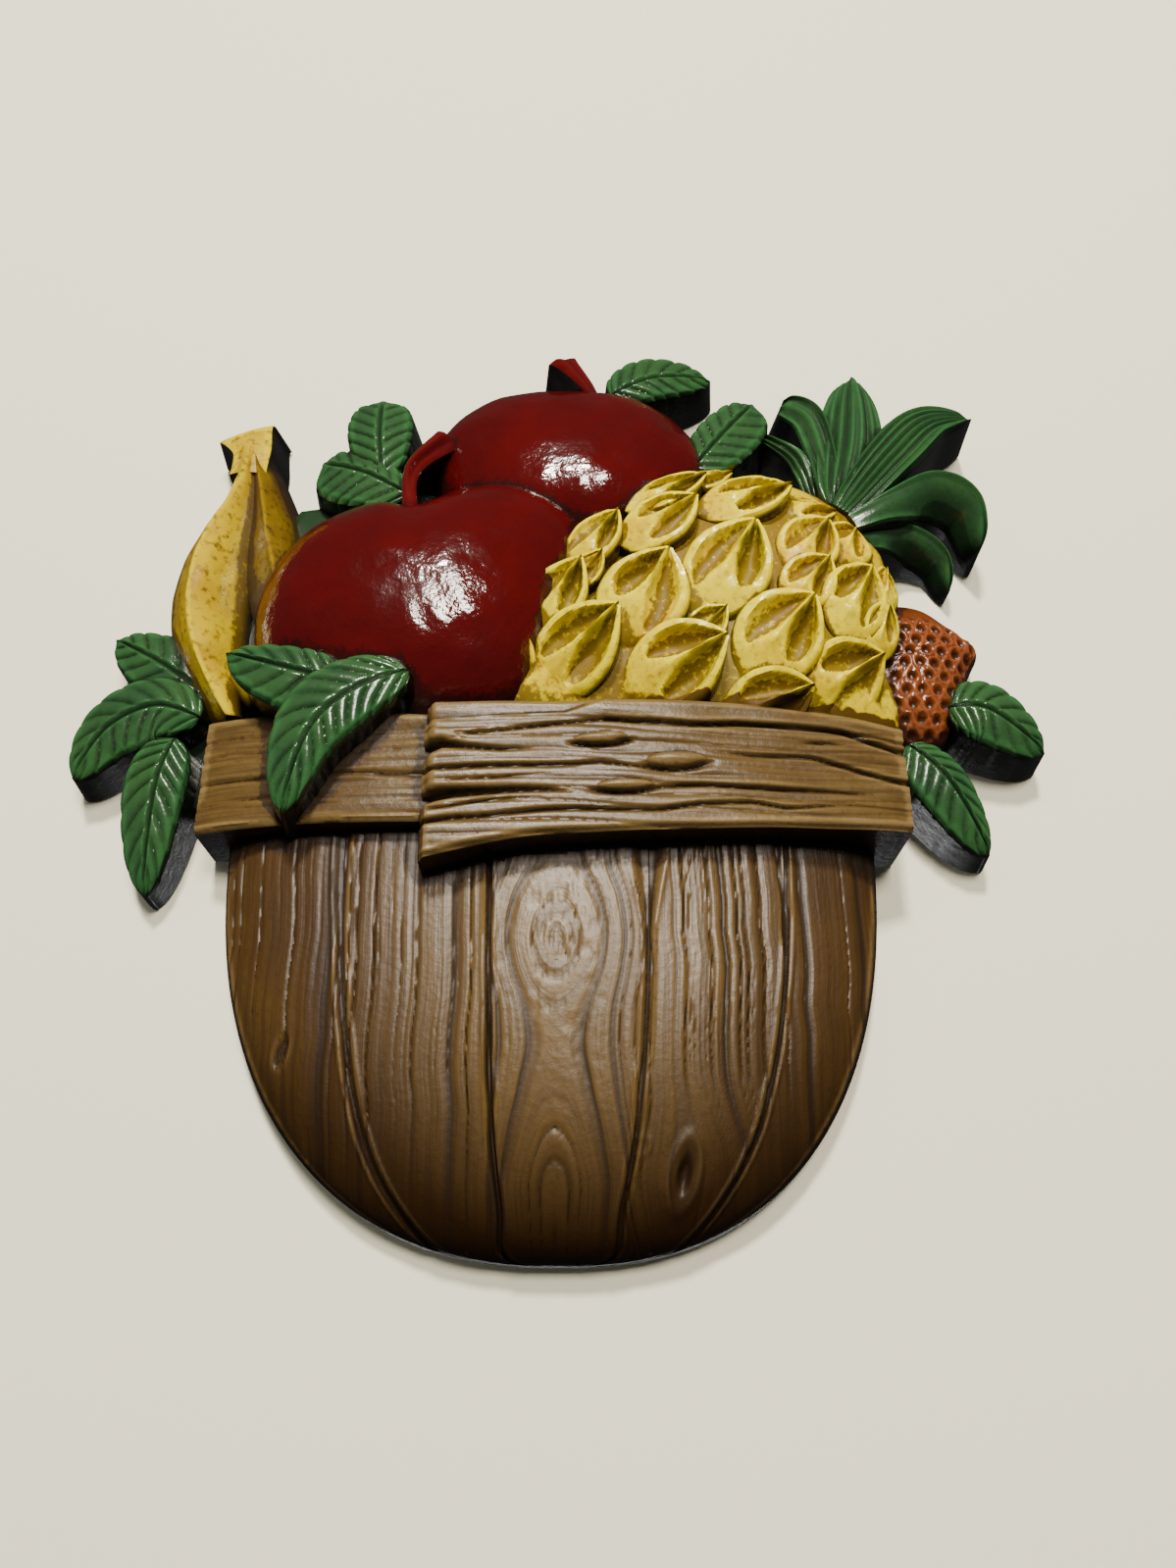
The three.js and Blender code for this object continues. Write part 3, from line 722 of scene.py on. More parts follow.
    def combine(self, base: bpy.types.Object, others: Sequence[bpy.types.Object], step: str) -> None:
        """Joins forms to a base or cuts them from it, keeping each face's own material.

        Args:
            base: the form that stays.
            others: the forms that are used up.
            step: UNION or DIFFERENCE.
        """
        group = bpy.data.collections.new("forms")
        bpy.context.scene.collection.children.link(group)
        for other in others:
            for home in other.users_collection:
                home.objects.unlink(other)
            group.objects.link(other)
        modifier = base.modifiers.new(step.lower(), "BOOLEAN")
        modifier.operation = step
        modifier.solver = "MANIFOLD"
        modifier.operand_type = "COLLECTION"
        modifier.collection = group
        modifier.material_mode = "TRANSFER"
        bpy.ops.object.select_all(action="DESELECT")
        bpy.context.view_layer.objects.active = base
        bpy.ops.object.modifier_apply(modifier=modifier.name)
        for other in others:
            bpy.data.objects.remove(other)
        bpy.data.collections.remove(group)


@dataclass(frozen=True)
class Dome:
    """A swelling form on a closed outline."""

    outline: Points  # corners that its smooth rim runs through, in order
    centre: tuple[float, float]
    skirt: float  # its height at the rim
    crown: float  # its height at the centre
    power: float = 2.2  # 2 gives the rise of an ellipse, and more a fuller one
    segments: int = 96  # faces round the rim
    rings: int = 24  # faces from the rim to the centre

    def at(self, angle: Field, out: Field) -> tuple[Field, Field, Field]:
        """The place and height at an angle about the centre, a share out of the way to the rim."""
        edge = closed_curve(self.outline) - np.array(self.centre)
        turn = np.arctan2(edge[:, 1], edge[:, 0])
        reach = np.interp(angle, turn, np.hypot(edge[:, 0], edge[:, 1]), period=2 * math.pi)
        rise = (1 - out**self.power) ** (1 / self.power)
        x = self.centre[0] + out * reach * np.cos(angle)
        z = self.centre[1] + out * reach * np.sin(angle)
        return x, z, lerp(self.skirt, self.crown, rise)

    def shrunk(self, by: float) -> "Dome":
        """The same form, thinner all round by a wall."""
        centre = np.array(self.centre)
        outline = []
        for corner in self.outline:
            arm = np.array(corner) - centre
            outline.append(tuple(centre + arm * (1 - by / np.linalg.norm(arm))))
        skirt, crown = max(1, self.skirt - by), self.crown - by
        return Dome(outline, self.centre, skirt, crown, self.power, segments=40, rings=10)


@dataclass(frozen=True)
class Seam:
    """A gap between two staves."""

    share: float  # where it starts at the rim, across the basket from -1 to 1
    sag: float  # how much further out it lies at the foot
    width: float
    depth: float
    gape: float = 0.0  # how much wider it opens at the rim
    flare: float = 0.4  # how far it runs out sideways at the very foot
    furthest: float = 0.97

    def at(self, drop: Field) -> Field:
        """Its share across the basket at a share of the way down."""
        share = self.share + self.sag * drop**3 + math.copysign(self.flare, self.share) * drop**24
        return np.clip(share, -self.furthest, self.furthest)


@dataclass(frozen=True)
class Grain:
    """Carved wood grain: narrow cuts with rounded ridges between them, and thin cuts that come and go."""

    rate: float = 0.64  # random steps of the main cuts in each millimetre
    thin_rate: float = 1.0
    ridge: float = 0.2  # heights, depths and widths, in millimetres
    cut: float = 0.42
    cut_width: float = 0.14
    thin_cut: float = 0.26
    thin_width: float = 0.17
    brown_width: float = 0.13  # how wide the brown lies in a cut
    thin_brown_width: float = 0.15
    fading: tuple[float, float] = (-52, -82)  # it grows faint between these levels
    strengths: tuple[float, ...] = (0.75, 1.05, 0.75, 1.25, 0.7)  # on each stave

    def cuts(self, across: Field, z: Field, stave: Field) -> tuple[Field, Field, Field]:
        """Two sets of smooth values across the grain that pass zero at a cut, and the second's strength."""
        coarse = wave(self.rate * across + 13 * stave, 1)
        thin = wave(self.thin_rate * across + 29 * stave, 2)
        return coarse, thin, np.clip(0.5 + 0.65 * cloud(across / 2.6, z / 19, 15), 0, 1)

    def relief(self, across: Field, x: Field, z: Field, stave: Field) -> Field:
        """The height of the grain at a place that lies across it by so much."""
        coarse, thin, come_and_go = self.cuts(across, z, stave)
        lines = self.ridge * np.abs(coarse) - self.cut * bump(coarse, self.cut_width)
        lines = lines - self.thin_cut * bump(thin, self.thin_width) * come_and_go
        strength = 1 + 0.35 * cloud(x / 9, z / 22, 5) - 0.45 * smooth(*self.fading, z)
        return lines * strength * np.array(self.strengths)[stave]

    def furrows(self, across: Field, z: Field, stave: Field) -> Field:
        """How near the cuts lie, in widths of the brown in them."""
        coarse, thin, come_and_go = self.cuts(across, z, stave)
        main = np.abs(coarse) / self.brown_width
        return np.minimum(main, np.abs(thin) / self.thin_brown_width + 1.5 * (1 - come_and_go))


@dataclass(frozen=True)
class Basket:
    """The basket's belly of five staves, with grain, knots and the gaps between staves."""

    half_width: float = 62.5
    straight: float = 17.0  # how far its sides run straight down from the rim
    relief: float = 21.0  # how far the belly stands out at its middle, and at its edge
    skirt: float = 3.0
    top: float = 6.0  # the staves run up behind the hoop to this level
    plan_power: float = 2.4  # 2 would make the foot round, and more makes it squarer
    belly_power: float = 2.4
    taper: float = 0.03  # how much narrower it runs towards the foot
    foot_shift: float = 1.8  # how far to the right the foot lies
    foot_angle: float = math.radians(86)  # short of the very foot, where the rows would meet in a point
    curved_rows: float = 0.75  # the share of the rows that the curved part takes
    hoop_room: float = 5.0  # the hollow runs this much deeper behind the hoop
    seams: tuple[Seam, ...] = (
        Seam(-0.6, -0.2, 0.7, 0.9, 0.4),
        Seam(-0.17, -0.1, 0.38, 1.3),
        Seam(0.285, 0.03, 0.42, 1.1, 1.9),
        Seam(0.69, 0.1, 0.36, 0.9),
    )
    gape_levels: tuple[float, float] = (-38, -19)  # a gap opens wider between these levels
    lip: float = 0.28  # the raised lip beside a gap
    bead: float = 0.5  # the raised line along each outer edge
    lifts: tuple[float, ...] = (-0.1, 0.2, 0.55, 0.2, -0.2)  # each stave's level
    wood: Grain = Grain()
    swirl: tuple[float, float] = (1.5, -38.0)  # where the grain swirls, on the stave of this number
    swirl_stave: int = 2
    pit: float = 0.3  # how deep the pits in the swirl are
    knot: tuple[float, float] = (23.0, -76.4)  # the knot hole, with a raised rim
    knot_stave: int = 3
    knot_depth: float = 1.7
    knot_rim: float = 0.4
    chip: tuple[float, float] = (-46.4, -56.2)  # a flake that is missing at the left edge
    chip_depth: float = 0.9
    scuff: tuple[float, float] = (15.9, -72.0)  # a raised ring
    scuff_radius: float = 1.5
    scuff_rise: float = 0.22
    size: tuple[int, int] = (400, 150)  # columns and rows of faces

    def row(self, v: Field, inset: float = 0.0) -> tuple[Field, Field, Field, Field, Field]:
        """The height, middle, half width, fullness and drop at v, from the foot to the top."""
        angle = self.foot_angle * (1 - np.clip(v / self.curved_rows, 0, 1))
        rise = np.clip((v - self.curved_rows) / (1 - self.curved_rows), 0, 1)
        drop = np.sin(angle) ** (2 / self.plan_power)
        full = np.cos(angle) ** (2 / self.plan_power)
        z = lerp(-self.straight, self.top - inset, rise) - (BASKET_DEPTH - self.straight - inset) * drop
        half = (self.half_width - inset) * full * (1 - self.taper * drop)
        return z, self.foot_shift * drop**2, half, full, drop

    def belly(self, s: Field, full: Field, drop: Field) -> Field:
        """How far out the belly stands, from 0 at its edge to 1 at its middle."""
        p = self.plan_power
        radius = np.minimum(1, ((np.abs(s) * full) ** p + drop**p) ** (1 / p))
        return (1 - radius**self.belly_power) ** (1 / self.belly_power)

    def across(self, u: Field, drop: Field) -> tuple[Field, Field]:
        """The share across the basket for each column, with columns that keep to the gaps."""
        columns = [0.0, *((1 + seam.share) / 2 for seam in self.seams), 1.0]
        shares = [-np.ones_like(u), *(seam.at(drop) for seam in self.seams), np.ones_like(u)]
        stave = np.clip(np.searchsorted(columns, u, side="right") - 1, 0, len(self.seams))
        s = np.zeros_like(u)
        for number in range(len(self.seams) + 1):
            start, end = columns[number], columns[number + 1]
            here = lerp(shares[number], shares[number + 1], (u - start) / (end - start))
            s = np.where(stave == number, here, s)
        return s, stave

    def surface(self, u: Field, v: Field) -> tuple[Field, Field, Field]:
        """The carved front of the staves."""
        z, middle, half, full, drop = self.row(v)
        s, stave = self.across(u, drop)
        x = middle + s * half
        h = lerp(self.skirt, self.relief, self.belly(s, full, drop))
        body = smooth(0, 0.3, full) * (1 - smooth(0.95, 1.0, np.abs(s)))
        h = h + np.array(self.lifts)[stave] * body
        h = h + self.wood.relief(self.run(x, z, stave), x, z, stave) * body + self.marks(x, z, stave)
        h = h + self.bead * bump(np.abs(s) - 0.972, 0.014) * smooth(0.2, 0.6, full)
        return x, z, h - self.gaps(s, z, half, drop) * smooth(0, 0.2, full)

    def gaps(self, s: Field, z: Field, half: Field, drop: Field) -> Field:
        """The depth of the gaps between the staves, with a raised lip beside each."""
        depth = np.zeros_like(s)
        for number, seam in enumerate(self.seams):
            away = (s - seam.at(drop)) * half + 0.12 * wave(z / 7, 40 + number)
            width = seam.width + seam.gape * smooth(*self.gape_levels, z)
            lip = bump(np.abs(away) - 1.4 * width - 0.5, 0.35)
            depth += seam.depth * (1 - smooth(0.5, 1.45, np.abs(away) / width)) - self.lip * lip
        return depth

    def run(self, x: Field, z: Field, stave: Field) -> Field:
        """The place across the grain in millimetres: its lines swirl on one stave and part at a knot."""
        dx, dz = x - self.knot[0], z - self.knot[1]
        parted = dx - 3.0 * dx / (np.abs(dx) + 1.3) * bump(dz, 9)
        across, up = x - self.swirl[0], z - self.swirl[1]
        ring = np.hypot(across, 0.65 * up * bump(up, 25))
        across = np.choose(stave, [x, x, ring, parted, x])
        return across + 0.7 * wave(z / 19, 3) + 0.3 * wave(z / 6 + 2 * stave, 9)

    def marks(self, x: Field, z: Field, stave: Field) -> Field:
        """The pits in the swirl, the knot hole, a chip on the edge and a round scuff."""
        near = bump(np.hypot(x - self.swirl[0], 0.6 * (z - self.swirl[1])), 11) * (stave == self.swirl_stave)
        pits = -self.pit * smooth(0.45, 0.8, cloud(x / 0.9, z / 1.2, 8)) * near
        dx, dz = x - self.knot[0], z - self.knot[1]
        knot = np.hypot((dx - 0.2 * dz) / 1.5, dz / 3.4)
        hole = self.knot_rim * bump(knot - 1.7, 0.4) - self.knot_depth * (1 - smooth(0.2, 1.15, knot))
        dx, dz = x - self.chip[0], z - self.chip[1]
        chip = -self.chip_depth * (1 - smooth(0.5, 1.0, np.hypot((dx - 0.3 * dz) / 1.5, dz / 3.4)))
        ring = bump(np.hypot(x - self.scuff[0], z - self.scuff[1]) - self.scuff_radius, 0.35)
        return pits + hole * (stave == self.knot_stave) + chip + self.scuff_rise * ring

    def follow(self, places: Field, layout: Layout) -> Field:
        """The grain's own coordinates at points of the frame: across, along and a number per stave."""
        x, z = places[:, 0] / MM, (places[:, 2] - layout.rim_z) / MM
        drop = np.clip((-self.straight - z) / (BASKET_DEPTH - self.straight), 0, 1)
        full = (1 - drop**self.plan_power) ** (1 / self.plan_power)
        half = self.half_width * full * (1 - self.taper * drop)
        s = (x - self.foot_shift * drop**2) / np.maximum(1, half)
        stave = sum((s > seam.at(drop)).astype(int) for seam in self.seams)
        return np.stack([self.run(x, z, stave), z, STAVE_STEP * stave], axis=-1)

    def furrows(self, grain: Field) -> Field:
        """How near the cuts lie at places given by follow, in widths of a cut."""
        return self.wood.furrows(grain[:, 0], grain[:, 1], grain[:, 2] / STAVE_STEP)

    def carve(self, carver: Carver) -> bpy.types.Object:
        """Carves the staves."""
        return carver.sheet("staves", self.size, self.surface, STAVE_BROWN)

    def hollow(self, carver: Carver) -> bpy.types.Object:
        """The room behind the staves."""

        def inside(u: Field, v: Field) -> tuple[Field, Field, Field]:
            """The room's own front, a wall's thickness inside the staves."""
            s = np.sin((2 * u - 1) * math.pi / 2)
            z, middle, half, full, drop = self.row(v, WALL)
            room = np.where(z > -self.straight, self.hoop_room, 0)
            return middle + s * half, z, lerp(1, self.relief - WALL, self.belly(s, full, drop)) + room

        return carver.sheet("basket_hollow", (28, 24), inside, BareCasting(), draft=0)


@dataclass(frozen=True)
class Split:
    """A split between two strands of the hoop, from one end of it to the other."""

    places: Points  # x, and the share across the hoop from its bottom edge
    depths: tuple[float, ...]  # at the same x places
    width: float = 0.6

    def depth_at(self, x: Field, z: Field, bottom: Field, top: Field) -> Field:
        """How deep the split cuts at a place."""
        stations = [place[0] for place in self.places]
        share = np.interp(x, stations, [place[1] for place in self.places])
        wander = 0.35 * wave(x / 9, 10 * self.depths[0] + stations[0])
        away = z - lerp(bottom, top, share) - wander
        depth = np.interp(x, stations, self.depths, left=0, right=self.depths[-1])
        return depth * bump(away, self.width * (0.5 + 0.4 * depth))


@dataclass(frozen=True)
class Ledge:
    """A band along the hoop's top that lies lower than the strand below it."""

    places: Points  # x, and the share across the hoop where the band starts
    drops: tuple[float, ...]  # how much lower it lies, at the same x places

    def drop_at(self, x: Field, z: Field, bottom: Field, top: Field) -> Field:
        """How much lower a place lies."""
        stations = [place[0] for place in self.places]
        share = np.interp(x, stations, [place[1] for place in self.places])
        return np.interp(x, stations, self.drops, right=0) * smooth(-0.2, 0.9, z - lerp(bottom, top, share))


@dataclass(frozen=True)
class Knot:
    """A knot that stands out like a long lens, undercut below."""

    at: tuple[float, float]  # its middle
    half: tuple[float, float]  # its half length and half height
    slope: float = 0.07  # how much it climbs to the right
    push: float = 1.1  # how far it pushes the grain aside
    rise: float = 1.3
    undercut: float = 0.8

    def away(self, x: Field, z: Field) -> tuple[Field, Field]:
        """How far along it and across it a place lies."""
        dx = x - self.at[0]
        return dx, z - self.at[1] - self.slope * dx

    def parting(self, x: Field, z: Field) -> Field:
        """How far it pushes the grain aside."""
        dx, dz = self.away(x, z)
        return self.push * dz / (np.abs(dz) + 1.0) * bump(dx, 7) * bump(dz, 3)

    def relief(self, x: Field, z: Field) -> Field:
        """The lens and the cut below it."""
        dx, dz = self.away(x, z)
        oval = np.hypot(dx / self.half[0], dz / self.half[1])
        crest = 1 - 0.35 * (dz / self.half[1] - 0.25) ** 2
        under = bump(oval - 1.12, 0.25) * smooth(0.1, -0.6, dz / self.half[1])
        return self.rise * crest * np.sqrt(np.clip(1 - oval**2, 0, 1)) - self.undercut * under


STRAND_EDGES = (0.19, 0.36, 0.53, 0.67, 0.85)  # where the hoop's free end splits, as shares across it


@dataclass(frozen=True)
class Hoop:
    """One end of the hoop of split wood: strands that run along it, parted by splits."""

    start: float  # the x places of its left and right ends
    end: float
    top: Callable[[Field], Field]  # the level of the top edge over x
    bottom: Callable[[Field], Field]
    out: Callable[[Field], Field]  # how far it stands out over x
    splits: tuple[Split, ...]
    size: tuple[int, int]
    fingers: float = 0.0  # how far back the strands' ends are rounded
    knots: tuple[Knot, ...] = ()
    ledges: tuple[Ledge, ...] = ()
    ridge: float = 0.14  # the grain's ridges and cuts
    swell: float = 0.3  # the slow rise and fall of the strands
    edge_drop: float = 1.1  # how far its long edges are rounded down, and over which width
    edge_width: float = 1.3
    blunt_drop: float = 2.4  # how far the strands' ends are rounded down
    draft: float = 0.03

    def surface(self, u: Field, v: Field) -> tuple[Field, Field, Field]:
        """The carved front, with u across the hoop from the bottom and v along it from the right."""
        x = lerp(self.end, self.start, v)
        low, high = self.bottom(x), self.top(x)
        z = lerp(low, high, u)
        h = self.out(x)
        for split in self.splits:
            h = h - split.depth_at(x, z, low, high)
        for ledge in self.ledges:
            h = h - ledge.drop_at(x, z, low, high)
        bent = z
        for knot in self.knots:
            bent = bent - knot.parting(x, z)
        lines = wave(0.5 * bent + 0.6 * wave(x / 23, 71), 72)
        h = h + self.ridge * np.abs(lines) - self.ridge * bump(lines, 0.2)
        h = h + self.swell * cloud(x / 11, bent / 2.6, 73)
        for knot in self.knots:
            h = h + knot.relief(x, z)
        edge = np.minimum(high - z, z - low)
        h = h - self.edge_drop * (1 - smooth(0, self.edge_width, edge)) ** 2
        return x, z, h - self.blunt(x, u)

    def blunt(self, x: Field, u: Field) -> Field:
        """The rounding of the strands' ends, each at its own length."""
        if not self.fingers:
            return np.zeros_like(x)
        strand = np.searchsorted(STRAND_EDGES, u).astype(float)
        reach = self.fingers * (0.75 + 0.35 * scatter(strand, 7))
        return self.blunt_drop * (1 - smooth(0, 1, (x - self.start) / (reach + 0.6))) ** 2

    def follow(self, places: Field, layout: Layout) -> Field:
        """The grain's own coordinates at points of the frame: across, along and a number."""
        x, z = places[:, 0] / MM, (places[:, 2] - layout.rim_z) / MM
        return np.stack([z + 0.8 * wave(x / 21, 71), x, np.full_like(x, HOOP_STEP)], axis=-1)

    def carve(self, carver: Carver, name: str) -> bpy.types.Object:
        """Carves this end of the hoop."""
        return carver.sheet(name, self.size, self.surface, HOOP_BROWN, self.draft)


@dataclass(frozen=True)
class Leaf:
    """A leaf with a cut midrib and puffed flesh between slanting veins."""

    midrib: Points  # from its base to its tip
    half: tuple[float, float]  # its half widths to the right and to the left of the midrib
    height: tuple[float, float, float]  # at its base, middle and tip
    shape: tuple[float, float] = (0.62, 0.75)  # powers of the widening from the base and the tip
    veins: float = 7.5  # how many on each side
    slant: float = 0.2  # how much nearer the tip a vein ends than it starts
    tip: float = 0.5  # its least half width
    puff: float = 0.42  # how far the flesh between the veins puffs up
    vein_cut: float = 0.34
    rib_cut: float = 0.5
    rib_lip: float = 0.3  # the raised line on both sides of the midrib
    size: tuple[int, int] = (50, 100)

    def surface(self, u: Field, v: Field) -> tuple[Field, Field, Field]:
        """The carved front, with v from the leaf's base to its tip."""
        s = 2 * u - 1
        side = np.abs(s)
        a, b = self.shape
        peak = (a / (a + b)) ** a * (b / (a + b)) ** b
        width = np.where(s < 0, self.half[0], self.half[1]) * v**a * (1 - v) ** b / peak
        phase = self.veins * (v - self.slant * side) + np.where(s < 0, 0.35, 0)
        vein = np.abs(phase - np.round(phase))
        lobe = 1 - (1 - 2 * vein) ** 2.4
        ends = smooth(0, 0.12, v) * (1 - smooth(0.86, 1, v))
        width = width * (1 + 0.012 * (lobe - 0.6) * smooth(0.7, 1, side) * ends)
        x, z = beside(*spline(self.midrib, v), np.maximum(self.tip, width) * s)
        uneven = 0.75 + 0.35 * scatter(np.round(phase) + 9 * (s < 0), self.midrib[0][0])
        cuts = self.puff * lobe - self.vein_cut * bump(vein, 0.09) * uneven
        cuts = cuts * smooth(0.02, 0.25, side) * ends
        rib = -self.rib_cut * bump(side, 0.045) * (1 - smooth(0.8, 1, v))
        rib = rib + self.rib_lip * bump(side - 0.12, 0.07)
        fold = 0.6 - 1.2 * side**1.8 - 0.9 * smooth(0.84, 1, side) ** 2
        return x, z, along(self.height, v) + cuts + rib + fold

    def carve(self, carver: Carver, name: str) -> bpy.types.Object:
        """Carves the leaf."""
        return carver.sheet(name, self.size, self.surface, LEAF_GREEN)


@dataclass(frozen=True)
class Blade:
    """A blade of the pineapple's tuft: folds that run along it and fall away from a rolled crest."""

    spine: Points  # from the tuft's heart to its tip
    half: tuple[float, float, float]  # its half width at both ends and the middle
    height: tuple[float, float, float]
    crest: float = 0.0  # where the crest lies across it, from -1 to 1
    fall: float = 1.0  # how far it falls from the crest to the further edge
    folds: float = 2.0  # how many on each side of its spine
    fold_rise: float = 0.46
    crest_rise: float = 0.8
    edge_drop: float = 0.8  # how far its edges and its tip are rounded down
    tip_drop: float = 0.7
    narrowest: float = 0.6
    size: tuple[int, int] = (44, 84)

    def surface(self, u: Field, v: Field) -> tuple[Field, Field, Field]:
        """The carved front, with v from the tuft's heart to the blade's tip."""
        s = 2 * u - 1
        reach = np.maximum(self.narrowest, along(self.half, v) * np.sqrt(1 - v**8)) * s
        x, z = beside(*spline(self.spine, v), reach)
        away = np.abs(s - self.crest) / (1 + abs(self.crest))
        opened = smooth(0.1, 0.55, v)
        crest = self.crest_rise * bump(s - self.crest, 0.16) * smooth(0, 0.3, v)
        sides = -self.fall * away**1.3 * opened + crest
        folds = self.fold_rise * np.cos(2 * math.pi * self.folds * s) * (1 - 0.6 * smooth(0.5, 1, v))
        edge = -self.edge_drop * smooth(0.86, 1, np.abs(s)) - self.tip_drop * smooth(0.9, 1, v)
        return x, z, along(self.height, v) + sides + folds * smooth(-0.1, 0.2, v) + edge

    def carve(self, carver: Carver, name: str) -> bpy.types.Object:
        """Carves the blade."""
        return carver.sheet(name, self.size, self.surface, LEAF_GREEN)


@dataclass(frozen=True)
class Eye:
    """One scale of the pineapple: a proud point, with a ridge between two scooped cheeks."""

    at: tuple[float, float]  # its middle
    turn: float  # degrees from the x axis to its point
    length: float
    half_width: float
    longest: float = 22.0  # a scale this long is as proud and as deeply scooped as this
    proud: float = 5.6
    root: float = -1.3  # where it starts, below the body's surface
    scoop: float = 3.6
    ridge: float = 0.9
    belly: float = 1.1
    skin: float = 0.25
    edge_drop: float = 1.1
    overlap: tuple[float, float] = (1.06, 1.1)  # how much longer and wider it is than its plan
    draft: float = 0.05
    size: tuple[int, int] = (34, 36)

    def surface(self, u: Field, v: Field) -> tuple[Field, Field, Field]:
        """The carved front, with v from the scale's root to its point."""
        s, t = 2 * u - 1, 2 * v - 1
        side = np.abs(s)
        angle = math.radians(self.turn)
        width = (1 - np.abs(t) ** 2.1) ** np.where(t > 0, 0.82, 0.62)
        width = np.maximum(0.08, width) * self.overlap[1] * self.half_width * s
        reach = self.overlap[0] * t * self.length / 2
        x = self.at[0] + reach * math.cos(angle) - width * math.sin(angle)
        z = self.at[1] + reach * math.sin(angle) + width * math.cos(angle)
        share = self.length / self.longest
        climb = lerp(self.root, self.proud * share, 1 - (1 - v) ** 1.7)
        h = PINEAPPLE_BODY.height_at(x, z) + climb - self.scoop * share * self.cheeks(s, t)
        ridge = self.ridge * bump(side, 0.1) * smooth(-0.6, 0.2, t)
        belly = self.belly * (1 - side**2) * (1 - smooth(-0.4, 0.4, t))
        skin = self.skin * cloud(x / 1.7, z / 1.7, 21)
        return x, z, h + ridge + belly + skin - self.edge_drop * smooth(0.9, 1, side)

    def cheeks(self, s: Field, t: Field) -> Field:
        """How deep the two scoops beside the ridge are, one larger than the other, with crisp edges."""
        uneven = float(scatter(np.array(self.at[0] + 3 * self.at[1]), 1))
        deepest = np.zeros_like(s)
        for way in (1, -1):
            start = -0.38 + 0.22 * way * uneven
            share = np.clip((t - start) / (0.94 - start), 0, 1)
            middle = way * lerp(0.5, 0.3, share)
            reach = 0.35 * np.sin(math.pi * share) ** 0.5 + 1e-3
            dish = np.clip(1 - ((s - middle) / reach) ** 2, 0, 1) ** 0.8
            deepest += (1 + 0.25 * way * uneven) * dish * np.sin(math.pi * share**0.8) ** 0.5
        return deepest

    def carve(self, carver: Carver, name: str) -> bpy.types.Object:
        """Carves the scale."""
        return carver.sheet(name, self.size, self.surface, PINE_YELLOW, self.draft)


@dataclass(frozen=True)
class PineappleBody(Dome):
    """The pineapple's round body under its scales."""

    side: float = 44.0  # about how far its outline lies from its centre each way
    up: float = 40.0
    down: float = 34.0

    def height_at(self, x: Field, z: Field) -> Field:
        """The body's height at a place in plan, near enough for the scales to lie on."""
        reach = np.where(z > self.centre[1], self.up, self.down)
        out = np.clip(np.hypot((x - self.centre[0]) / self.side, (z - self.centre[1]) / reach), 0, 1)
        return lerp(self.skirt, self.crown, (1 - out**self.power) ** (1 / self.power))


@dataclass(frozen=True)
class Stalk:
    """A short stalk or stem that stands on edge, with a cut end that is hollowed inside its rim."""

    spine: Points  # from its root to its end
    half: tuple[float, float, float]  # its half width at both ends and the middle
    height: tuple[float, float, float]
    paint: Enamel
    dish: float = 0.0  # how deep the side to the right of the rim is dished
    rounding: float = 0.9  # how far its sides and its end are rounded down
    end_drop: float = 0.5
    size: tuple[int, int] = (26, 34)

    def surface(self, u: Field, v: Field) -> tuple[Field, Field, Field]:
        """The carved front, with v from root to end."""
        s = 2 * u - 1
        x, z = beside(*spline(self.spine, v), along(self.half, v) * s)
        dished = self.dish * smooth(0.45, -0.35, s) * smooth(0.2, 0.5, v)
        rounded = self.rounding * np.abs(s) ** 2.5
        return x, z, along(self.height, v) - rounded - self.end_drop * smooth(0.93, 1, v) - dished

    def carve(self, carver: Carver, name: str) -> bpy.types.Object:
        """Carves the stalk."""
        return carver.sheet(name, self.size, self.surface, self.paint)


@dataclass(frozen=True)
class Banana:
    """A banana: a bent body with a long ridge between its outer and its inner face."""

    spine: Points  # from the blossom end to the stem
    base_half: float  # its half width at the ends
    swell: float  # how much more it is at the middle
    spread: tuple[float, float, float]  # where the swelling starts, how fast it runs and its power
    height: tuple[float, float, float]
    ridge: float  # where its long ridge runs, as a share across it
    paint: Enamel
    edge: float = 4.0  # how far its edges stand out
    ridge_rise: float = 0.35
    dents: float = 0.22
    size: tuple[int, int] = (54, 100)

    def surface(self, u: Field, v: Field) -> tuple[Field, Field, Field]:
        """The carved front, with v from the blossom end to the stem."""
        s = 2 * u - 1
        start, rate, power = self.spread
        width = self.base_half + self.swell * np.sin(math.pi * np.clip(start + rate * v, 0, 1)) ** power
        x, z = beside(*spline(self.spine, v), s * width)
        outer = np.clip((self.ridge - u) / self.ridge, 0, 1) ** 1.9
        inner = 0.6 * np.clip((u - self.ridge) / (1 - self.ridge), 0, 1) ** 1.15
        h = lerp(along(self.height, v), self.edge, outer + inner)
        h = h + self.ridge_rise * bump(u - self.ridge, 0.04)
        return x, z, h + self.dents * cloud(x / 2.6, z / 3.4, 12)

    def carve(self, carver: Carver, name: str) -> bpy.types.Object:
        """Carves the banana."""
        return carver.sheet(name, self.size, self.surface, self.paint)


# ---------------------------------------------------------------- the plaque's layout

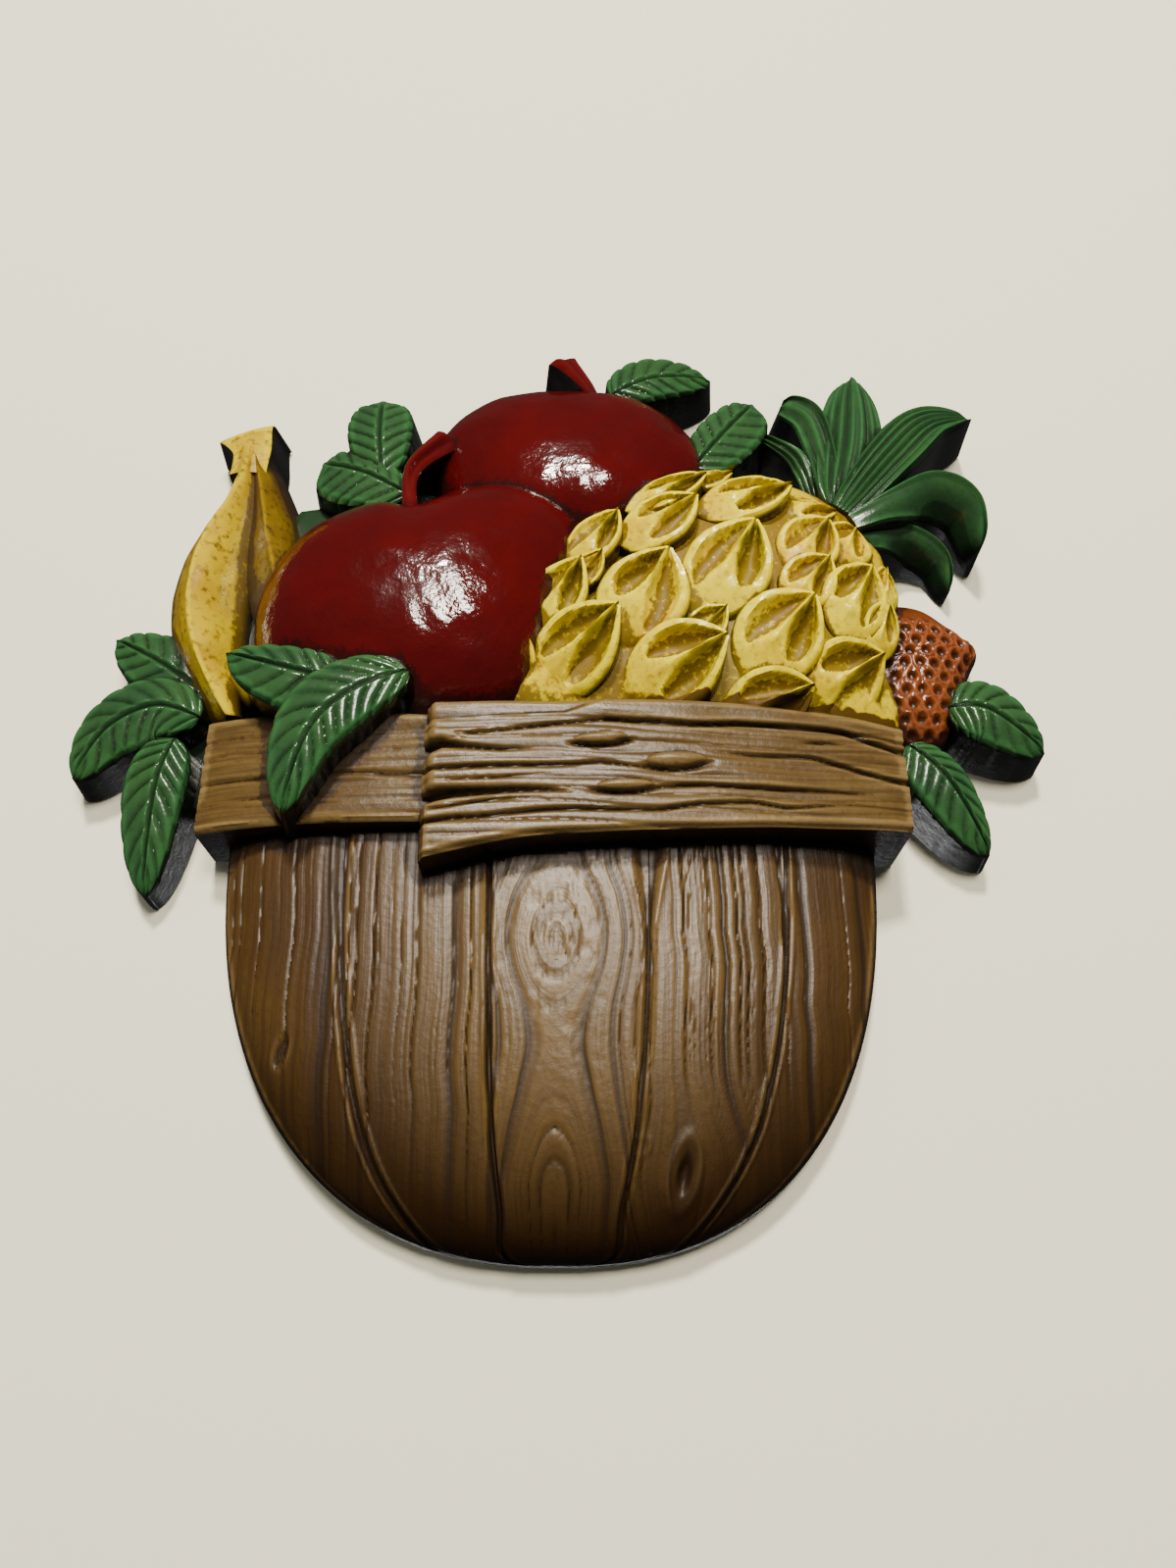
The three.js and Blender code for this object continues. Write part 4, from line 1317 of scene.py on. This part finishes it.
BASKET = Basket()
LOWER_HOOP = Hoop(
    -66.5,
    -20,
    lambda x: 4 - 0.08 * (x + 29),
    lambda x: -17.6 - 0.03 * (x + 24),
    lambda x: 26 - 12 * np.abs(x / 68) ** 3,
    (
        Split(((-69, 0.78), (-57, 0.8), (-46, 0.8)), (0.5, 0.5, 0.0)),
        Split(((-69, 0.6), (-60, 0.66), (-46, 0.64)), (0.3, 0.4, 0.0)),
        Split(((-69, 0.4), (-55, 0.42), (-40, 0.42), (-30, 0.42), (-20, 0.43)), (0.5, 0.6, 0.3, 0.8, 0.8)),
        Split(((-66, 0.22), (-50, 0.24), (-30, 0.2)), (0.3, 0.35, 0.2)),
    ),
    (56, 100),
)
UPPER_HOOP = Hoop(
    -22.5,
    66.5,
    lambda x: 4.9 - 1.2 * np.clip((x - 45) / 20, 0, 1) ** 2,
    lambda x: -21 + 0.062 * (x - 7) - 3 * np.clip(-x / 21, 0, 1.1) ** 1.5,
    lambda x: 29.5 + 1.5 * np.clip(-x / 22, 0, 1) ** 1.5 - 11 * np.abs(x / 68) ** 2.2,
    (
        Split(
            ((9.7, 0.82), (25, 0.8), (34, 0.83), (54, 0.84), (60, 0.78), (67, 0.74)),
            (0.5, 1.2, 1.3, 1.1, 1.4, 1.6),
            0.5,
        ),
        Split(((-18, 0.75), (-13.6, 0.74), (-1.7, 0.77), (9.7, 0.82)), (0.0, 0.8, 0.9, 0.6), 0.45),
        Split(
            ((-23, 0.66), (-19, 0.68), (-14.8, 0.65), (-8, 0.62), (-2, 0.61)),
            (4.6, 2.6, 1.1, 0.7, 0.0),
            0.5,
        ),
        Split(
            ((-23, 0.53), (-8, 0.49), (9.7, 0.49), (16, 0.47), (24, 0.42)),
            (0.8, 0.9, 0.9, 0.6, 0.0),
            0.45,
        ),
        Split(
            ((-23, 0.36), (-16.6, 0.35), (-8, 0.33), (0, 0.3), (4.5, 0.28)),
            (4.4, 3.0, 1.8, 1.0, 0.0),
            0.5,
        ),
        Split(
            ((19, 0.31), (23, 0.31), (44, 0.29), (52, 0.3), (62, 0.3)),
            (0.2, 1.0, 0.9, 0.6, 0.0),
            0.45,
        ),
        Split(
            (
                (-23, 0.2), (-13, 0.18), (5.4, 0.17), (20, 0.14),
                (36, 0.18), (42, 0.15), (52, 0.17), (67, 0.17),
            ),
            (1.6, 1.0, 0.9, 1.0, 0.8, 0.9, 0.4, 0.2),
            0.45,
        ),
        Split(
            ((28, 0.59), (37, 0.56), (48, 0.56), (57.5, 0.49), (67, 0.45)),
            (0.0, 0.7, 0.9, 1.2, 1.4),
            0.5,
        ),
        Split(((44, 0.7), (50, 0.7), (57, 0.69)), (0.0, 0.8, 0.0), 0.4),
        Split(((-21, 0.27), (-10, 0.26), (0, 0.25)), (0.6, 0.6, 0.0), 0.35),
        Split(((-18, 0.44), (-8, 0.42), (2, 0.4)), (0.2, 0.35, 0.0), 0.35),
    ),
    (110, 230),
    fingers=2.2,
    knots=(
        Knot((9.3, -3.6), (4.6, 1.25)),
        Knot((22.8, -7.4), (5.2, 1.7)),
        Knot((13.6, -12.6), (5.0, 1.2)),
    ),
    ledges=(
        Ledge(((-23, 0.84), (-7, 0.86), (3, 0.87), (6, 0.91), (10, 0.97)), (2.0, 1.5, 1.2, 0.9, 0.3)),
    ),
)  # fmt: skip

LEAVES = {
    "left_top": Leaf(((-67, 13), (-79, 21.5), (-90, 28)), (6.8, 7), (11, 11.5, 9)),
    "left_middle": Leaf(
        ((-69, 8.5), (-78, 11), (-87.5, 6.5), (-93.5, -3)), (7.2, 7.6), (13, 13, 9), veins=8.5
    ),
    "left_low": Leaf(((-73, 4), (-76, -6), (-77, -26)), (7, 5.4), (13, 12, 6.5), veins=8.5),
    "middle_side": Leaf(((-37, 9.5), (-47, 11.2), (-61, 15.5)), (5.5, 7.8), (24.5, 27.5, 25.5)),
    "middle_low": Leaf(
        ((-26, 10.5), (-36, 5), (-43, -3), (-47, -17)), (8.4, 6.2), (28.5, 30.7, 27), veins=9.5
    ),
    "top_left_up": Leaf(((-37, 65), (-38.5, 77), (-39, 88.5)), (7, 7.4), (14, 14.5, 11), (0.6, 0.38)),
    "top_left_side": Leaf(((-31, 60), (-41, 66.5), (-51, 71)), (5.8, 8.6), (15, 14.5, 11), (0.6, 0.4)),
    "top_middle": Leaf(((12, 87.3), (22, 93.2), (35, 96)), (5, 7.2), (14, 13.5, 9)),
    "top_right": Leaf(((29, 66), (36, 76), (44, 87.5)), (7.5, 6), (15, 15, 11), (0.6, 0.45)),
    "right_side": Leaf(((78, 11), (86, 10), (97, 2.5)), (7, 6.5), (12, 13.5, 8.5)),
    "right_low": Leaf(((69, 3), (76.3, -5), (83.6, -18.3)), (6.8, 4.3), (12, 13, 7.5), veins=8.5),
}
TUFT = (
    Blade(((56, 58), (54, 68), (51.5, 73.5), (45, 79)), (1.8, 2.4, 0.8), (13, 14, 12), -0.2, 1.5, 2),
    Blade(((58.5, 58), (57.5, 72), (55.5, 83), (50.5, 88.5)), (2, 3.2, 2.4), (15, 15, 11.5), -0.85, 3, 1),
    Blade(((59.5, 57), (64, 74), (66.5, 95)), (2.4, 7, 3.2), (16, 16, 12.5), -0.2, 2, 3),
    Blade(((60.5, 55), (72, 69.5), (81, 79), (91.5, 82)), (3, 6, 1.6), (17, 17.5, 14), -0.75, 1.2, 3.5),
    Blade(((62, 52), (72, 57), (81, 61.3), (87.6, 59), (90, 50)), (2, 4, 2.6), (17.5, 17.5, 12), 0.8, 8, 0.5),
    Blade(((61, 47.5), (69, 51), (76, 52), (82, 49), (84, 42.5)), (2, 3.1, 1.6), (16, 12, 6), 0.8, 6, 0.5),
)
PINEAPPLE_BODY = PineappleBody(
    outline=(
        (-15, 4), (-14, 18), (-7, 31), (3, 44), (15, 56), (28, 64), (46, 67),
        (60, 61), (69, 50), (71, 36), (69, 20), (66, 2), (25, -6),
    ),
    centre=(29, 28),
    skirt=6,
    crown=28,
    power=2.1,
    segments=72,
    rings=18,
)  # fmt: skip
EYES = (
    Eye((-9, 15), 76, 17, 5.5), Eye((3.8, 16.4), 37, 21, 7.6), Eye((23, 12.2), 24, 20, 7.6),
    Eye((40, 5.5), 20, 18, 6), Eye((55.3, 11.5), 34, 19, 6.8), Eye((-0.1, 28), 51, 17.5, 6.2),
    Eye((17.3, 26.1), 60, 19.5, 8.2), Eye((33.5, 32), 60, 22, 7.8), Eye((50.5, 40.5), 55, 15.5, 5.8),
    Eye((49.5, 31), 50, 13.5, 5.2), Eye((59, 28.4), 63, 17, 6.4), Eye((42.8, 18.2), 48, 19.5, 7.8),
    Eye((38.5, 52), 22, 20, 6), Eye((21, 45), 33, 17, 6), Eye((7.8, 41.5), 48, 14.5, 5),
    Eye((22.8, 54), 24, 17, 4.4), Eye((60, 44.5), 66, 12.5, 5), Eye((52, 52.5), 12, 12.5, 4.6),
    Eye((-3, 32.5), 40, 9.5, 3.2), Eye((64.5, 24), 72, 12, 3.8), Eye((6.3, 34), 45, 9.5, 3.4),
    Eye((31, 59.5), 20, 12, 4), Eye((67, 35), 80, 11, 3.2), Eye((29, 20), 40, 10, 3.6),
)  # fmt: skip
UPPER_APPLE = Dome(
    (
        (-27, 70), (-24, 81), (-14, 88.8), (3, 91), (18, 88.5),
        (29, 80), (34, 69), (30, 55), (10, 45), (-18, 50),
    ),
    (5, 61),
    8,
    25,
    power=2.05,
)  # fmt: skip
LOWER_APPLE = Dome(
    (
        (-61, 29), (-58, 42), (-50, 52), (-38, 57), (-29, 56), (-18, 61), (-4, 62),
        (7, 55), (10, 42), (5, 22), (-8, 6), (-35, 2), (-56, 14),
    ),
    (-25, 32),
    10,
    32,
    power=2.05,
)  # fmt: skip
GROUND = Dome(
    (
        (-72, -8), (-73, 7), (-66, 30), (-59, 60), (-44, 65), (-30, 73), (-12, 85), (18, 85),
        (36, 72), (60, 56), (66, 40), (70, 26), (72, 6), (69, -7), (0, -12),
    ),
    (5, 30),
    6,
    9,
    segments=64,
    rings=6,
)  # fmt: skip
BERRY = Dome(
    (
        (58, 20), (60, 30), (67, 36.4), (75.6, 36.3), (82.3, 31.2),
        (87.4, 26), (84.8, 20), (82.5, 11), (76, 4), (64, 6),
    ),
    (71, 22),
    5,
    16,
    segments=160,
    rings=52,
)  # fmt: skip
STALKS = {
    "upper_stalk": Stalk(
        ((8, 82), (7, 89), (1, 99)), (1.7, 1.7, 3.4), (18, 17, 15), APPLE_RED, dish=1.5
    ),
    "lower_stalk": Stalk(
        ((-29, 50), (-29.5, 63), (-22.5, 72.5)), (1.8, 1.6, 3), (24, 22, 20), APPLE_RED, dish=1.5
    ),
    "banana_stem": Stalk(
        ((-67, 68), (-67, 75), (-69, 80.5)), (4, 4.2, 6.4), (13, 12.5, 11.5), BANANA_YELLOW
    ),
}
BANANAS = {
    "front_banana": Banana(
        ((-62, 8), (-68.5, 22), (-71, 34), (-70.5, 47), (-67.5, 60), (-66.3, 76)),
        3.4,
        5.2,
        (0, 1.1, 0.8),
        (16, 18, 12),
        0.64,
        BANANA_YELLOW,
    ),
    "rear_banana": Banana(
        ((-54, 30), (-59, 46), (-62, 58), (-66, 74)),
        3,
        4.5,
        (0.3, 0.7, 0.8),
        (15, 14.5, 12),
        0.5,
        REAR_BANANA_YELLOW,
    ),
}


def dents(x: Field, z: Field, out: Field) -> Field:
    """The slightly uneven skin of an apple: broad dents and small ones."""
    broad, small = 0.26 * cloud(x / 5, z / 4.5, 31), 0.07 * cloud(x / 1.8, z / 1.8, 32)
    return (broad + small) * (1 - smooth(0.9, 1, out))


def sunk(x: Field, z: Field, out: Field) -> Field:
    """How much lower the pineapple's body lies between its scales than where they grow from."""
    return (-0.5 + 0.3 * cloud(x / 2, z / 2, 33)) * (1 - smooth(0.85, 1, out))


def dimples(x: Field, z: Field, out: Field) -> Field:
    """Round pits with raised rims, in staggered rows over the berry up to its crown."""
    first = (60, 3)  # where the pits are counted from
    pitch, rise, stray = 3.15, 2.75, 0.22
    crown = (29, 31.5)
    row = np.round((z - first[1]) / rise)
    shift = 0.5 * np.mod(row, 2)
    column = np.round((x - first[0]) / pitch - shift)
    from_x = x - first[0] - (column + shift) * pitch - stray * scatter(row * 7 + column, 5)
    from_z = z - first[1] - row * rise - stray * scatter(row * 5 + column, 6)
    away = np.hypot(from_x, from_z)
    rims, pits = 0.3 * bump(away - 1.35, 0.3), 0.85 * (1 - smooth(0.35, 1.15, away))
    return (rims - pits) * (1 - smooth(0.9, 0.98, out)) * (1 - smooth(*crown, z))


@dataclass
class Casting:
    """The whole casting in its three carved groups, each trimmed and hollowed at the back."""

    carver: Carver
    bar_z: float = 60.0  # the level of the bar for the wall hook, above the rim
    bar: tuple[float, float, float] = (110, 4, 8)  # its length, thickness and height
    reach: float = 130.0  # a box this far each way holds the whole casting
    step: float = 0.06  # the groups' backs lie this far apart, too little to see

    def basket(self) -> list[bpy.types.Object]:
        """Carves the staves and the hoop round them."""
        return [
            BASKET.carve(self.carver),
            LOWER_HOOP.carve(self.carver, "hoop_lower_end"),
            UPPER_HOOP.carve(self.carver, "hoop_upper_end"),
        ]

    def fruit(self) -> list[bpy.types.Object]:
        """Carves the fruit and the ground between it."""
        carver = self.carver
        made = [
            carver.dome("ground", GROUND, LEAF_GREEN),
            carver.dome("pineapple_body", PINEAPPLE_BODY, PINE_YELLOW, sunk),
            carver.dome("upper_apple", UPPER_APPLE, APPLE_RED, dents),
            carver.dome("lower_apple", LOWER_APPLE, APPLE_RED, dents),
            carver.dome("berry", BERRY, BERRY_ORANGE, dimples),
        ]
        made += [eye.carve(carver, f"eye_{number}") for number, eye in enumerate(EYES, 1)]
        made += [stalk.carve(carver, name) for name, stalk in STALKS.items()]
        return made + [banana.carve(carver, name) for name, banana in BANANAS.items()]

    def leaves(self) -> list[bpy.types.Object]:
        """Carves the leaves and the pineapple's tuft."""
        made = [leaf.carve(self.carver, f"leaf_{name}") for name, leaf in LEAVES.items()]
        return made + [blade.carve(self.carver, f"tuft_{number}") for number, blade in enumerate(TUFT, 1)]

    def cutters(self, back: float) -> list[bpy.types.Object]:
        """What is cut away behind a group: all below its back, and the rooms behind basket and fruit."""
        carver, far = self.carver, self.reach
        return [
            carver.block("behind", (-far, -2 * OVERRUN, -far), (far, back, far)),
            BASKET.hollow(carver),
            carver.dome("pineapple_hollow", PINEAPPLE_BODY.shrunk(WALL), BareCasting()),
            carver.dome("upper_apple_hollow", UPPER_APPLE.shrunk(WALL), BareCasting()),
            carver.dome("lower_apple_hollow", LOWER_APPLE.shrunk(WALL), BareCasting()),
        ]

    def group(self, name: str, forms: list[bpy.types.Object], back: float) -> bpy.types.Object:
        """Fuses forms into one group and trims its back.

        Args:
            name: what the group is.
            forms: its carved forms.
            back: how far before the wall plane its back lies.

        Returns:
            The group, with its faces in the paint of the form they came from.
        """
        base = forms[0]
        self.carver.combine(base, forms[1:], "UNION")
        self.carver.combine(base, self.cutters(back), "DIFFERENCE")
        base.name = name
        base.data.name = name
        log.info("fused %s: %d faces", name, len(base.data.polygons))
        return base

    def build(self) -> list[bpy.types.Object]:
        """Makes the three groups and adds the bar for the wall hook to the fruit."""
        basket = self.group("basket_and_hoop", self.basket(), 0)
        fruit = self.group("fruit", self.fruit(), self.step)
        leaves = self.group("leaves", self.leaves(), 2 * self.step)
        length, thickness, height = self.bar
        low = (-length / 2, self.step, self.bar_z - height / 2)
        high = (length / 2, thickness, self.bar_z + height / 2)
        self.carver.combine(fruit, [self.carver.block("hanging_bar", low, high)], "UNION")
        return [basket, fruit, leaves]


def store(group: bpy.types.Object, layer: Layer, values: Field) -> None:
    """Keeps a number or a place for each vertex of a group, in one of its layers."""
    kind, key = ("FLOAT", "value") if values.ndim == 1 else ("FLOAT_VECTOR", "vector")
    stored = group.data.attributes.new(layer.value, kind, "POINT")
    stored.data.foreach_set(key, values.astype(np.float32).ravel())


@dataclass
class Patina:
    """Works out where the brown wash, the painted shade and the painted highlight lie, from the casting's own
    relief.

    A place is measured against the mean level about it, over three spreads. Each span says between
    which values, in millimetres or in shares of facing the front, a layer goes from none to full.
    """

    carver: Carver
    step_mm: float = 0.5
    least_mm: float = 0.5  # what is lower is the wall
    spreads_mm: tuple[float, float, float] = (0.8, 2.0, 4.5)
    fine_hollow: tuple[float, float] = (0.05, 0.4)
    middling_hollow: tuple[float, float] = (0.12, 0.7)
    # broad_hollow: brown in broad recesses between forms, partly painted shade
    broad_hollow: tuple[float, float] = (0.6, 2.6)
    # deep_corner: the painted shade in deep corners
    deep_corner: tuple[float, float] = (2.4, 6)
    # raised_line and open_face: the painted highlight, partly wear, on raised lines facing the front
    raised_line: tuple[float, float] = (0.04, 0.4)
    open_face: tuple[float, float] = (0.35, 0.6)
    # steep_wall: the painted shade on steep walls, partly their own dark paint
    steep_wall: tuple[float, float] = (0.5, 0.12)

    def heights(self, groups: list[bpy.types.Object]) -> tuple[Field, Field, Vector]:
        """Measures the relief from the front.

        Returns:
            The height in millimetres over a grid, where the grid meets the casting, and its corner.
        """
        graph = bpy.context.evaluated_depsgraph_get()
        trees = [BVHTree.FromObject(group, graph) for group in groups]
        corners = np.concatenate([self.carver.points_of(group) for group in groups])
        low, high = Vector(corners.min(0)), Vector(corners.max(0))
        step, wall = self.step_mm * MM, self.carver.layout.wall_y
        size = int((high.x - low.x) / step) + 2, int((high.z - low.z) / step) + 2
        height = np.zeros(size)
        away = Vector((0, 1, 0))
        for i in range(size[0]):
            for j in range(size[1]):
                start = Vector((low.x + i * step, low.y - 0.01, low.z + j * step))
                hits = [tree.ray_cast(start, away)[0] for tree in trees]
                height[i, j] = max((wall - hit.y for hit in hits if hit is not None), default=0) / MM
        return height, (height > self.least_mm).astype(float), low

    def blurred(self, field: Field, spread_mm: float) -> Field:
        """The field, softened by spread_mm along both directions."""
        reach = int(3 * spread_mm / self.step_mm) + 1
        offsets = np.arange(-reach, reach + 1)
        weights = np.exp(-0.5 * (offsets * self.step_mm / spread_mm) ** 2)
        weights /= weights.sum()
        for axis in (0, 1):
            field = np.apply_along_axis(np.convolve, axis, field, weights, mode="same")
        return field

    def sample(self, field: Field, places: Field, low: Vector) -> Field:
        """The field's value at each place, between its grid points."""
        step = self.step_mm * MM
        i = np.clip((places[:, 0] - low.x) / step, 0, field.shape[0] - 1.001)
        j = np.clip((places[:, 2] - low.z) / step, 0, field.shape[1] - 1.001)
        a, b = i.astype(int), j.astype(int)
        near = lerp(field[a, b], field[a, b + 1], j - b)
        far = lerp(field[a + 1, b], field[a + 1, b + 1], j - b)
        return lerp(near, far, i - a)

    def apply(self, groups: list[bpy.types.Object]) -> None:
        """Stores the wash layer, the painted highlight layer (partly wear) and the painted shade layer on the
        groups' vertices.
        """
        height, met, low = self.heights(groups)
        levels = [
            self.blurred(height * met, spread) / np.maximum(self.blurred(met, spread), 1e-3)
            for spread in self.spreads_mm
        ]
        for group in groups:
            places = self.carver.points_of(group)
            own = (self.carver.layout.wall_y - places[:, 1]) / MM
            fine, middling, broad = (self.sample(level, places, low) - own for level in levels)
            normals = np.empty(len(places) * 3)
            group.data.vertex_normals.foreach_get("vector", normals)
            facing = -normals.reshape(-1, 3)[:, 1]
            hollow = np.maximum(smooth(*self.fine_hollow, fine), smooth(*self.middling_hollow, middling))
            corner, wall = smooth(*self.deep_corner, broad), smooth(*self.steep_wall, facing)
            values = {
                # brown wash in hollows, partly painted shade in broad recesses
                Layer.WASH: np.maximum(hollow, smooth(*self.broad_hollow, broad)),
                # painted highlight, partly wear
                Layer.RUB: smooth(*self.raised_line, -fine) * smooth(*self.open_face, facing),
                # painted shade in deep corners and on steep walls, the walls partly their own dark paint
                Layer.SHADE: np.maximum(corner, wall),
            }
            for layer, value in values.items():
                store(group, layer, value)
            log.info("wash on %.0f%% of %s", 100 * float((values[Layer.WASH] > 0.5).mean()), group.name)


def mark_grain(basket: bpy.types.Object, carver: Carver) -> None:
    """Stores the grain's places and cuts on the basket, along the staves and along the hoop."""
    places = carver.points_of(basket)
    grain = BASKET.follow(places, carver.layout)
    furrow = BASKET.furrows(grain)
    hoop_slot = basket.data.materials.find(HOOP_BROWN.name)
    on_hoop = np.zeros(len(places), bool)
    for face in basket.data.polygons:
        if face.material_index == hoop_slot:
            on_hoop[list(face.vertices)] = True
    grain[on_hoop] = UPPER_HOOP.follow(places, carver.layout)[on_hoop]
    furrow[on_hoop] = NO_CUT
    store(basket, Layer.GRAIN, grain)
    store(basket, Layer.FURROW, furrow)


@dataclass(frozen=True)
class Lamp:
    """A square soft lamp aimed at the plaque."""

    name: str
    power: float  # watts
    size: float  # of its side, in metres
    turn: float  # how far round to the right of the front it stands, in degrees
    lift: float  # how far up it stands, in degrees
    far: float  # metres from the plaque
    colour: str
    glossy: bool = True  # whether its reflection shows in the paint

    def hang(self, at: Vector) -> None:
        """Hangs the lamp so that it lights a place."""
        data = bpy.data.lights.new(self.name, "AREA")
        data.energy = self.power
        data.size = self.size
        data.color = linear(self.colour)[:3]
        turn, lift = math.radians(self.turn), math.radians(self.lift)
        way = Vector((math.sin(turn) * math.cos(lift), -math.cos(turn) * math.cos(lift), math.sin(lift)))
        lamp = bpy.data.objects.new(self.name, data)
        lamp.visible_glossy = self.glossy
        lamp.location = at + way * self.far
        lamp.rotation_euler = (-way).to_track_quat("-Z", "Y").to_euler()
        bpy.context.scene.collection.objects.link(lamp)


LAMPS = (
    Lamp("key", 20.0, 0.12, -4, 30, 1.1, "#fff6ea"),
    Lamp("low", 14.0, 0.22, 8, 12, 1.1, "#fff4e6"),
    Lamp("fill", 3.0, 0.9, -30, 15, 1.2, "#f3f1ee", glossy=False),
    Lamp("rear", 12.0, 0.6, 180, 0, 1.1, "#ffffff"),
)


@dataclass
class Studio:
    """A pale wall to hang on, a pale floor, soft lamps and the camera."""

    layout: Layout
    pitch: float = math.radians(23.0)  # the camera looks up by this much
    distance: float = 0.230
    aim: tuple[float, float] = (7.0, 0.0)  # the layout point that the camera aims at
    focal_mm: float = 25.9
    nearest: float = 0.01  # the camera sees nothing closer
    wall_gap_mm: float = 0.3
    side: float = 3.0  # of the wall and of the floor, in metres
    floor: tuple[float, float] = (-1.2, 0.6)  # its middle before the wall, and its depth below the rim
    sky: str = "#e6e3dd"
    sky_strength: float = 0.08

    def pale(self, name: str, colour: str) -> bpy.types.Material:
        """A matt pale paint that shows nothing from behind."""
        made = bpy.data.materials.new(name)
        made.use_nodes = True
        tree = made.node_tree
        shader = tree.nodes["Principled BSDF"]
        shader.inputs["Base Color"].default_value = linear(colour)
        shader.inputs["Roughness"].default_value = 0.85
        clear = add_node(tree, "ShaderNodeBsdfTransparent", {}, {})
        side = add_node(tree, "ShaderNodeNewGeometry", {}, {})
        mix = add_node(
            tree,
            "ShaderNodeMixShader",
            {},
            {0: side.outputs["Backfacing"], 1: shader.outputs[0], 2: clear.outputs[0]},
        )
        tree.links.new(mix.outputs[0], tree.nodes["Material Output"].inputs["Surface"])
        return made

    def plane(self, name: str, location: Sequence[float], lean: float, colour: str) -> None:
        """A flat piece of the set, which the plaque neither reflects nor is lit by.

        Args:
            name: what it is.
            location: its middle.
            lean: its turn about the x axis, in radians.
            colour: of its paint.
        """
        bpy.ops.object.select_all(action="DESELECT")
        bpy.ops.mesh.primitive_plane_add(size=self.side, location=location, rotation=(lean, 0, 0))
        piece = bpy.context.object
        piece.name = name
        piece.data.materials.append(self.pale(f"{name}_paint", colour))
        piece.visible_diffuse = False
        piece.visible_glossy = False
        piece.visible_shadow = False

    def build(self) -> None:
        """Sets up the wall, the floor, the lamps, the world and the camera."""
        wall_y, rim_z = self.layout.wall_y, self.layout.rim_z
        before, below = self.floor
        self.plane("wall", (0, wall_y + self.wall_gap_mm * MM, rim_z), math.pi / 2, "#dcdbc4")
        self.plane("floor", (0, before, rim_z - below), 0, "#d8d4cc")
        for lamp in LAMPS:
            lamp.hang(Vector((0, wall_y, rim_z)))
        world = bpy.data.worlds.new("studio")
        world.use_nodes = True
        sky = world.node_tree.nodes["Background"].inputs
        sky["Color"].default_value = linear(self.sky)
        sky["Strength"].default_value = self.sky_strength
        bpy.context.scene.world = world
        self.point_camera()

    def point_camera(self) -> None:
        """Sets up the camera, which looks up at the plaque."""
        forward = Vector((0, math.cos(self.pitch), math.sin(self.pitch)))
        level = self.layout.rim_z + self.aim[1] * MM
        target = Vector((self.aim[0] * MM, self.layout.wall_y, level))
        data = bpy.data.cameras.new("camera")
        data.lens = self.focal_mm
        data.clip_start = self.nearest
        camera = bpy.data.objects.new("camera", data)
        camera.location = target - forward * self.distance
        camera.rotation_euler = forward.to_track_quat("-Z", "Y").to_euler()
        bpy.context.scene.collection.objects.link(camera)
        bpy.context.scene.camera = camera


def main() -> None:
    """Builds the plaque around the frame, dresses it and sets up the studio."""
    logging.basicConfig(level=logging.INFO, format="%(name)s: %(message)s")
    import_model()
    layout = Layout.from_frame()
    for paint in PAINTS:
        paint.material(layout)
    BareCasting().material()
    carver = Carver(layout)
    groups = Casting(carver).build()
    mark_grain(groups[0], carver)
    Patina(carver).apply(groups)
    for group in groups:
        for layer in list(group.data.uv_layers):
            group.data.uv_layers.remove(layer)
        bpy.ops.object.select_all(action="DESELECT")
        group.select_set(True)
        bpy.context.view_layer.objects.active = group
        bpy.ops.object.shade_smooth_by_angle(angle=CREASE)
        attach(group, "root")
        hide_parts(CASTING_NODE)
        group.data.calc_loop_triangles()
        log.info("%s: %d triangles", group.name, len(group.data.loop_triangles))
    Studio(layout).build()
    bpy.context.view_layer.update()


if __name__ == "__main__":
    main()
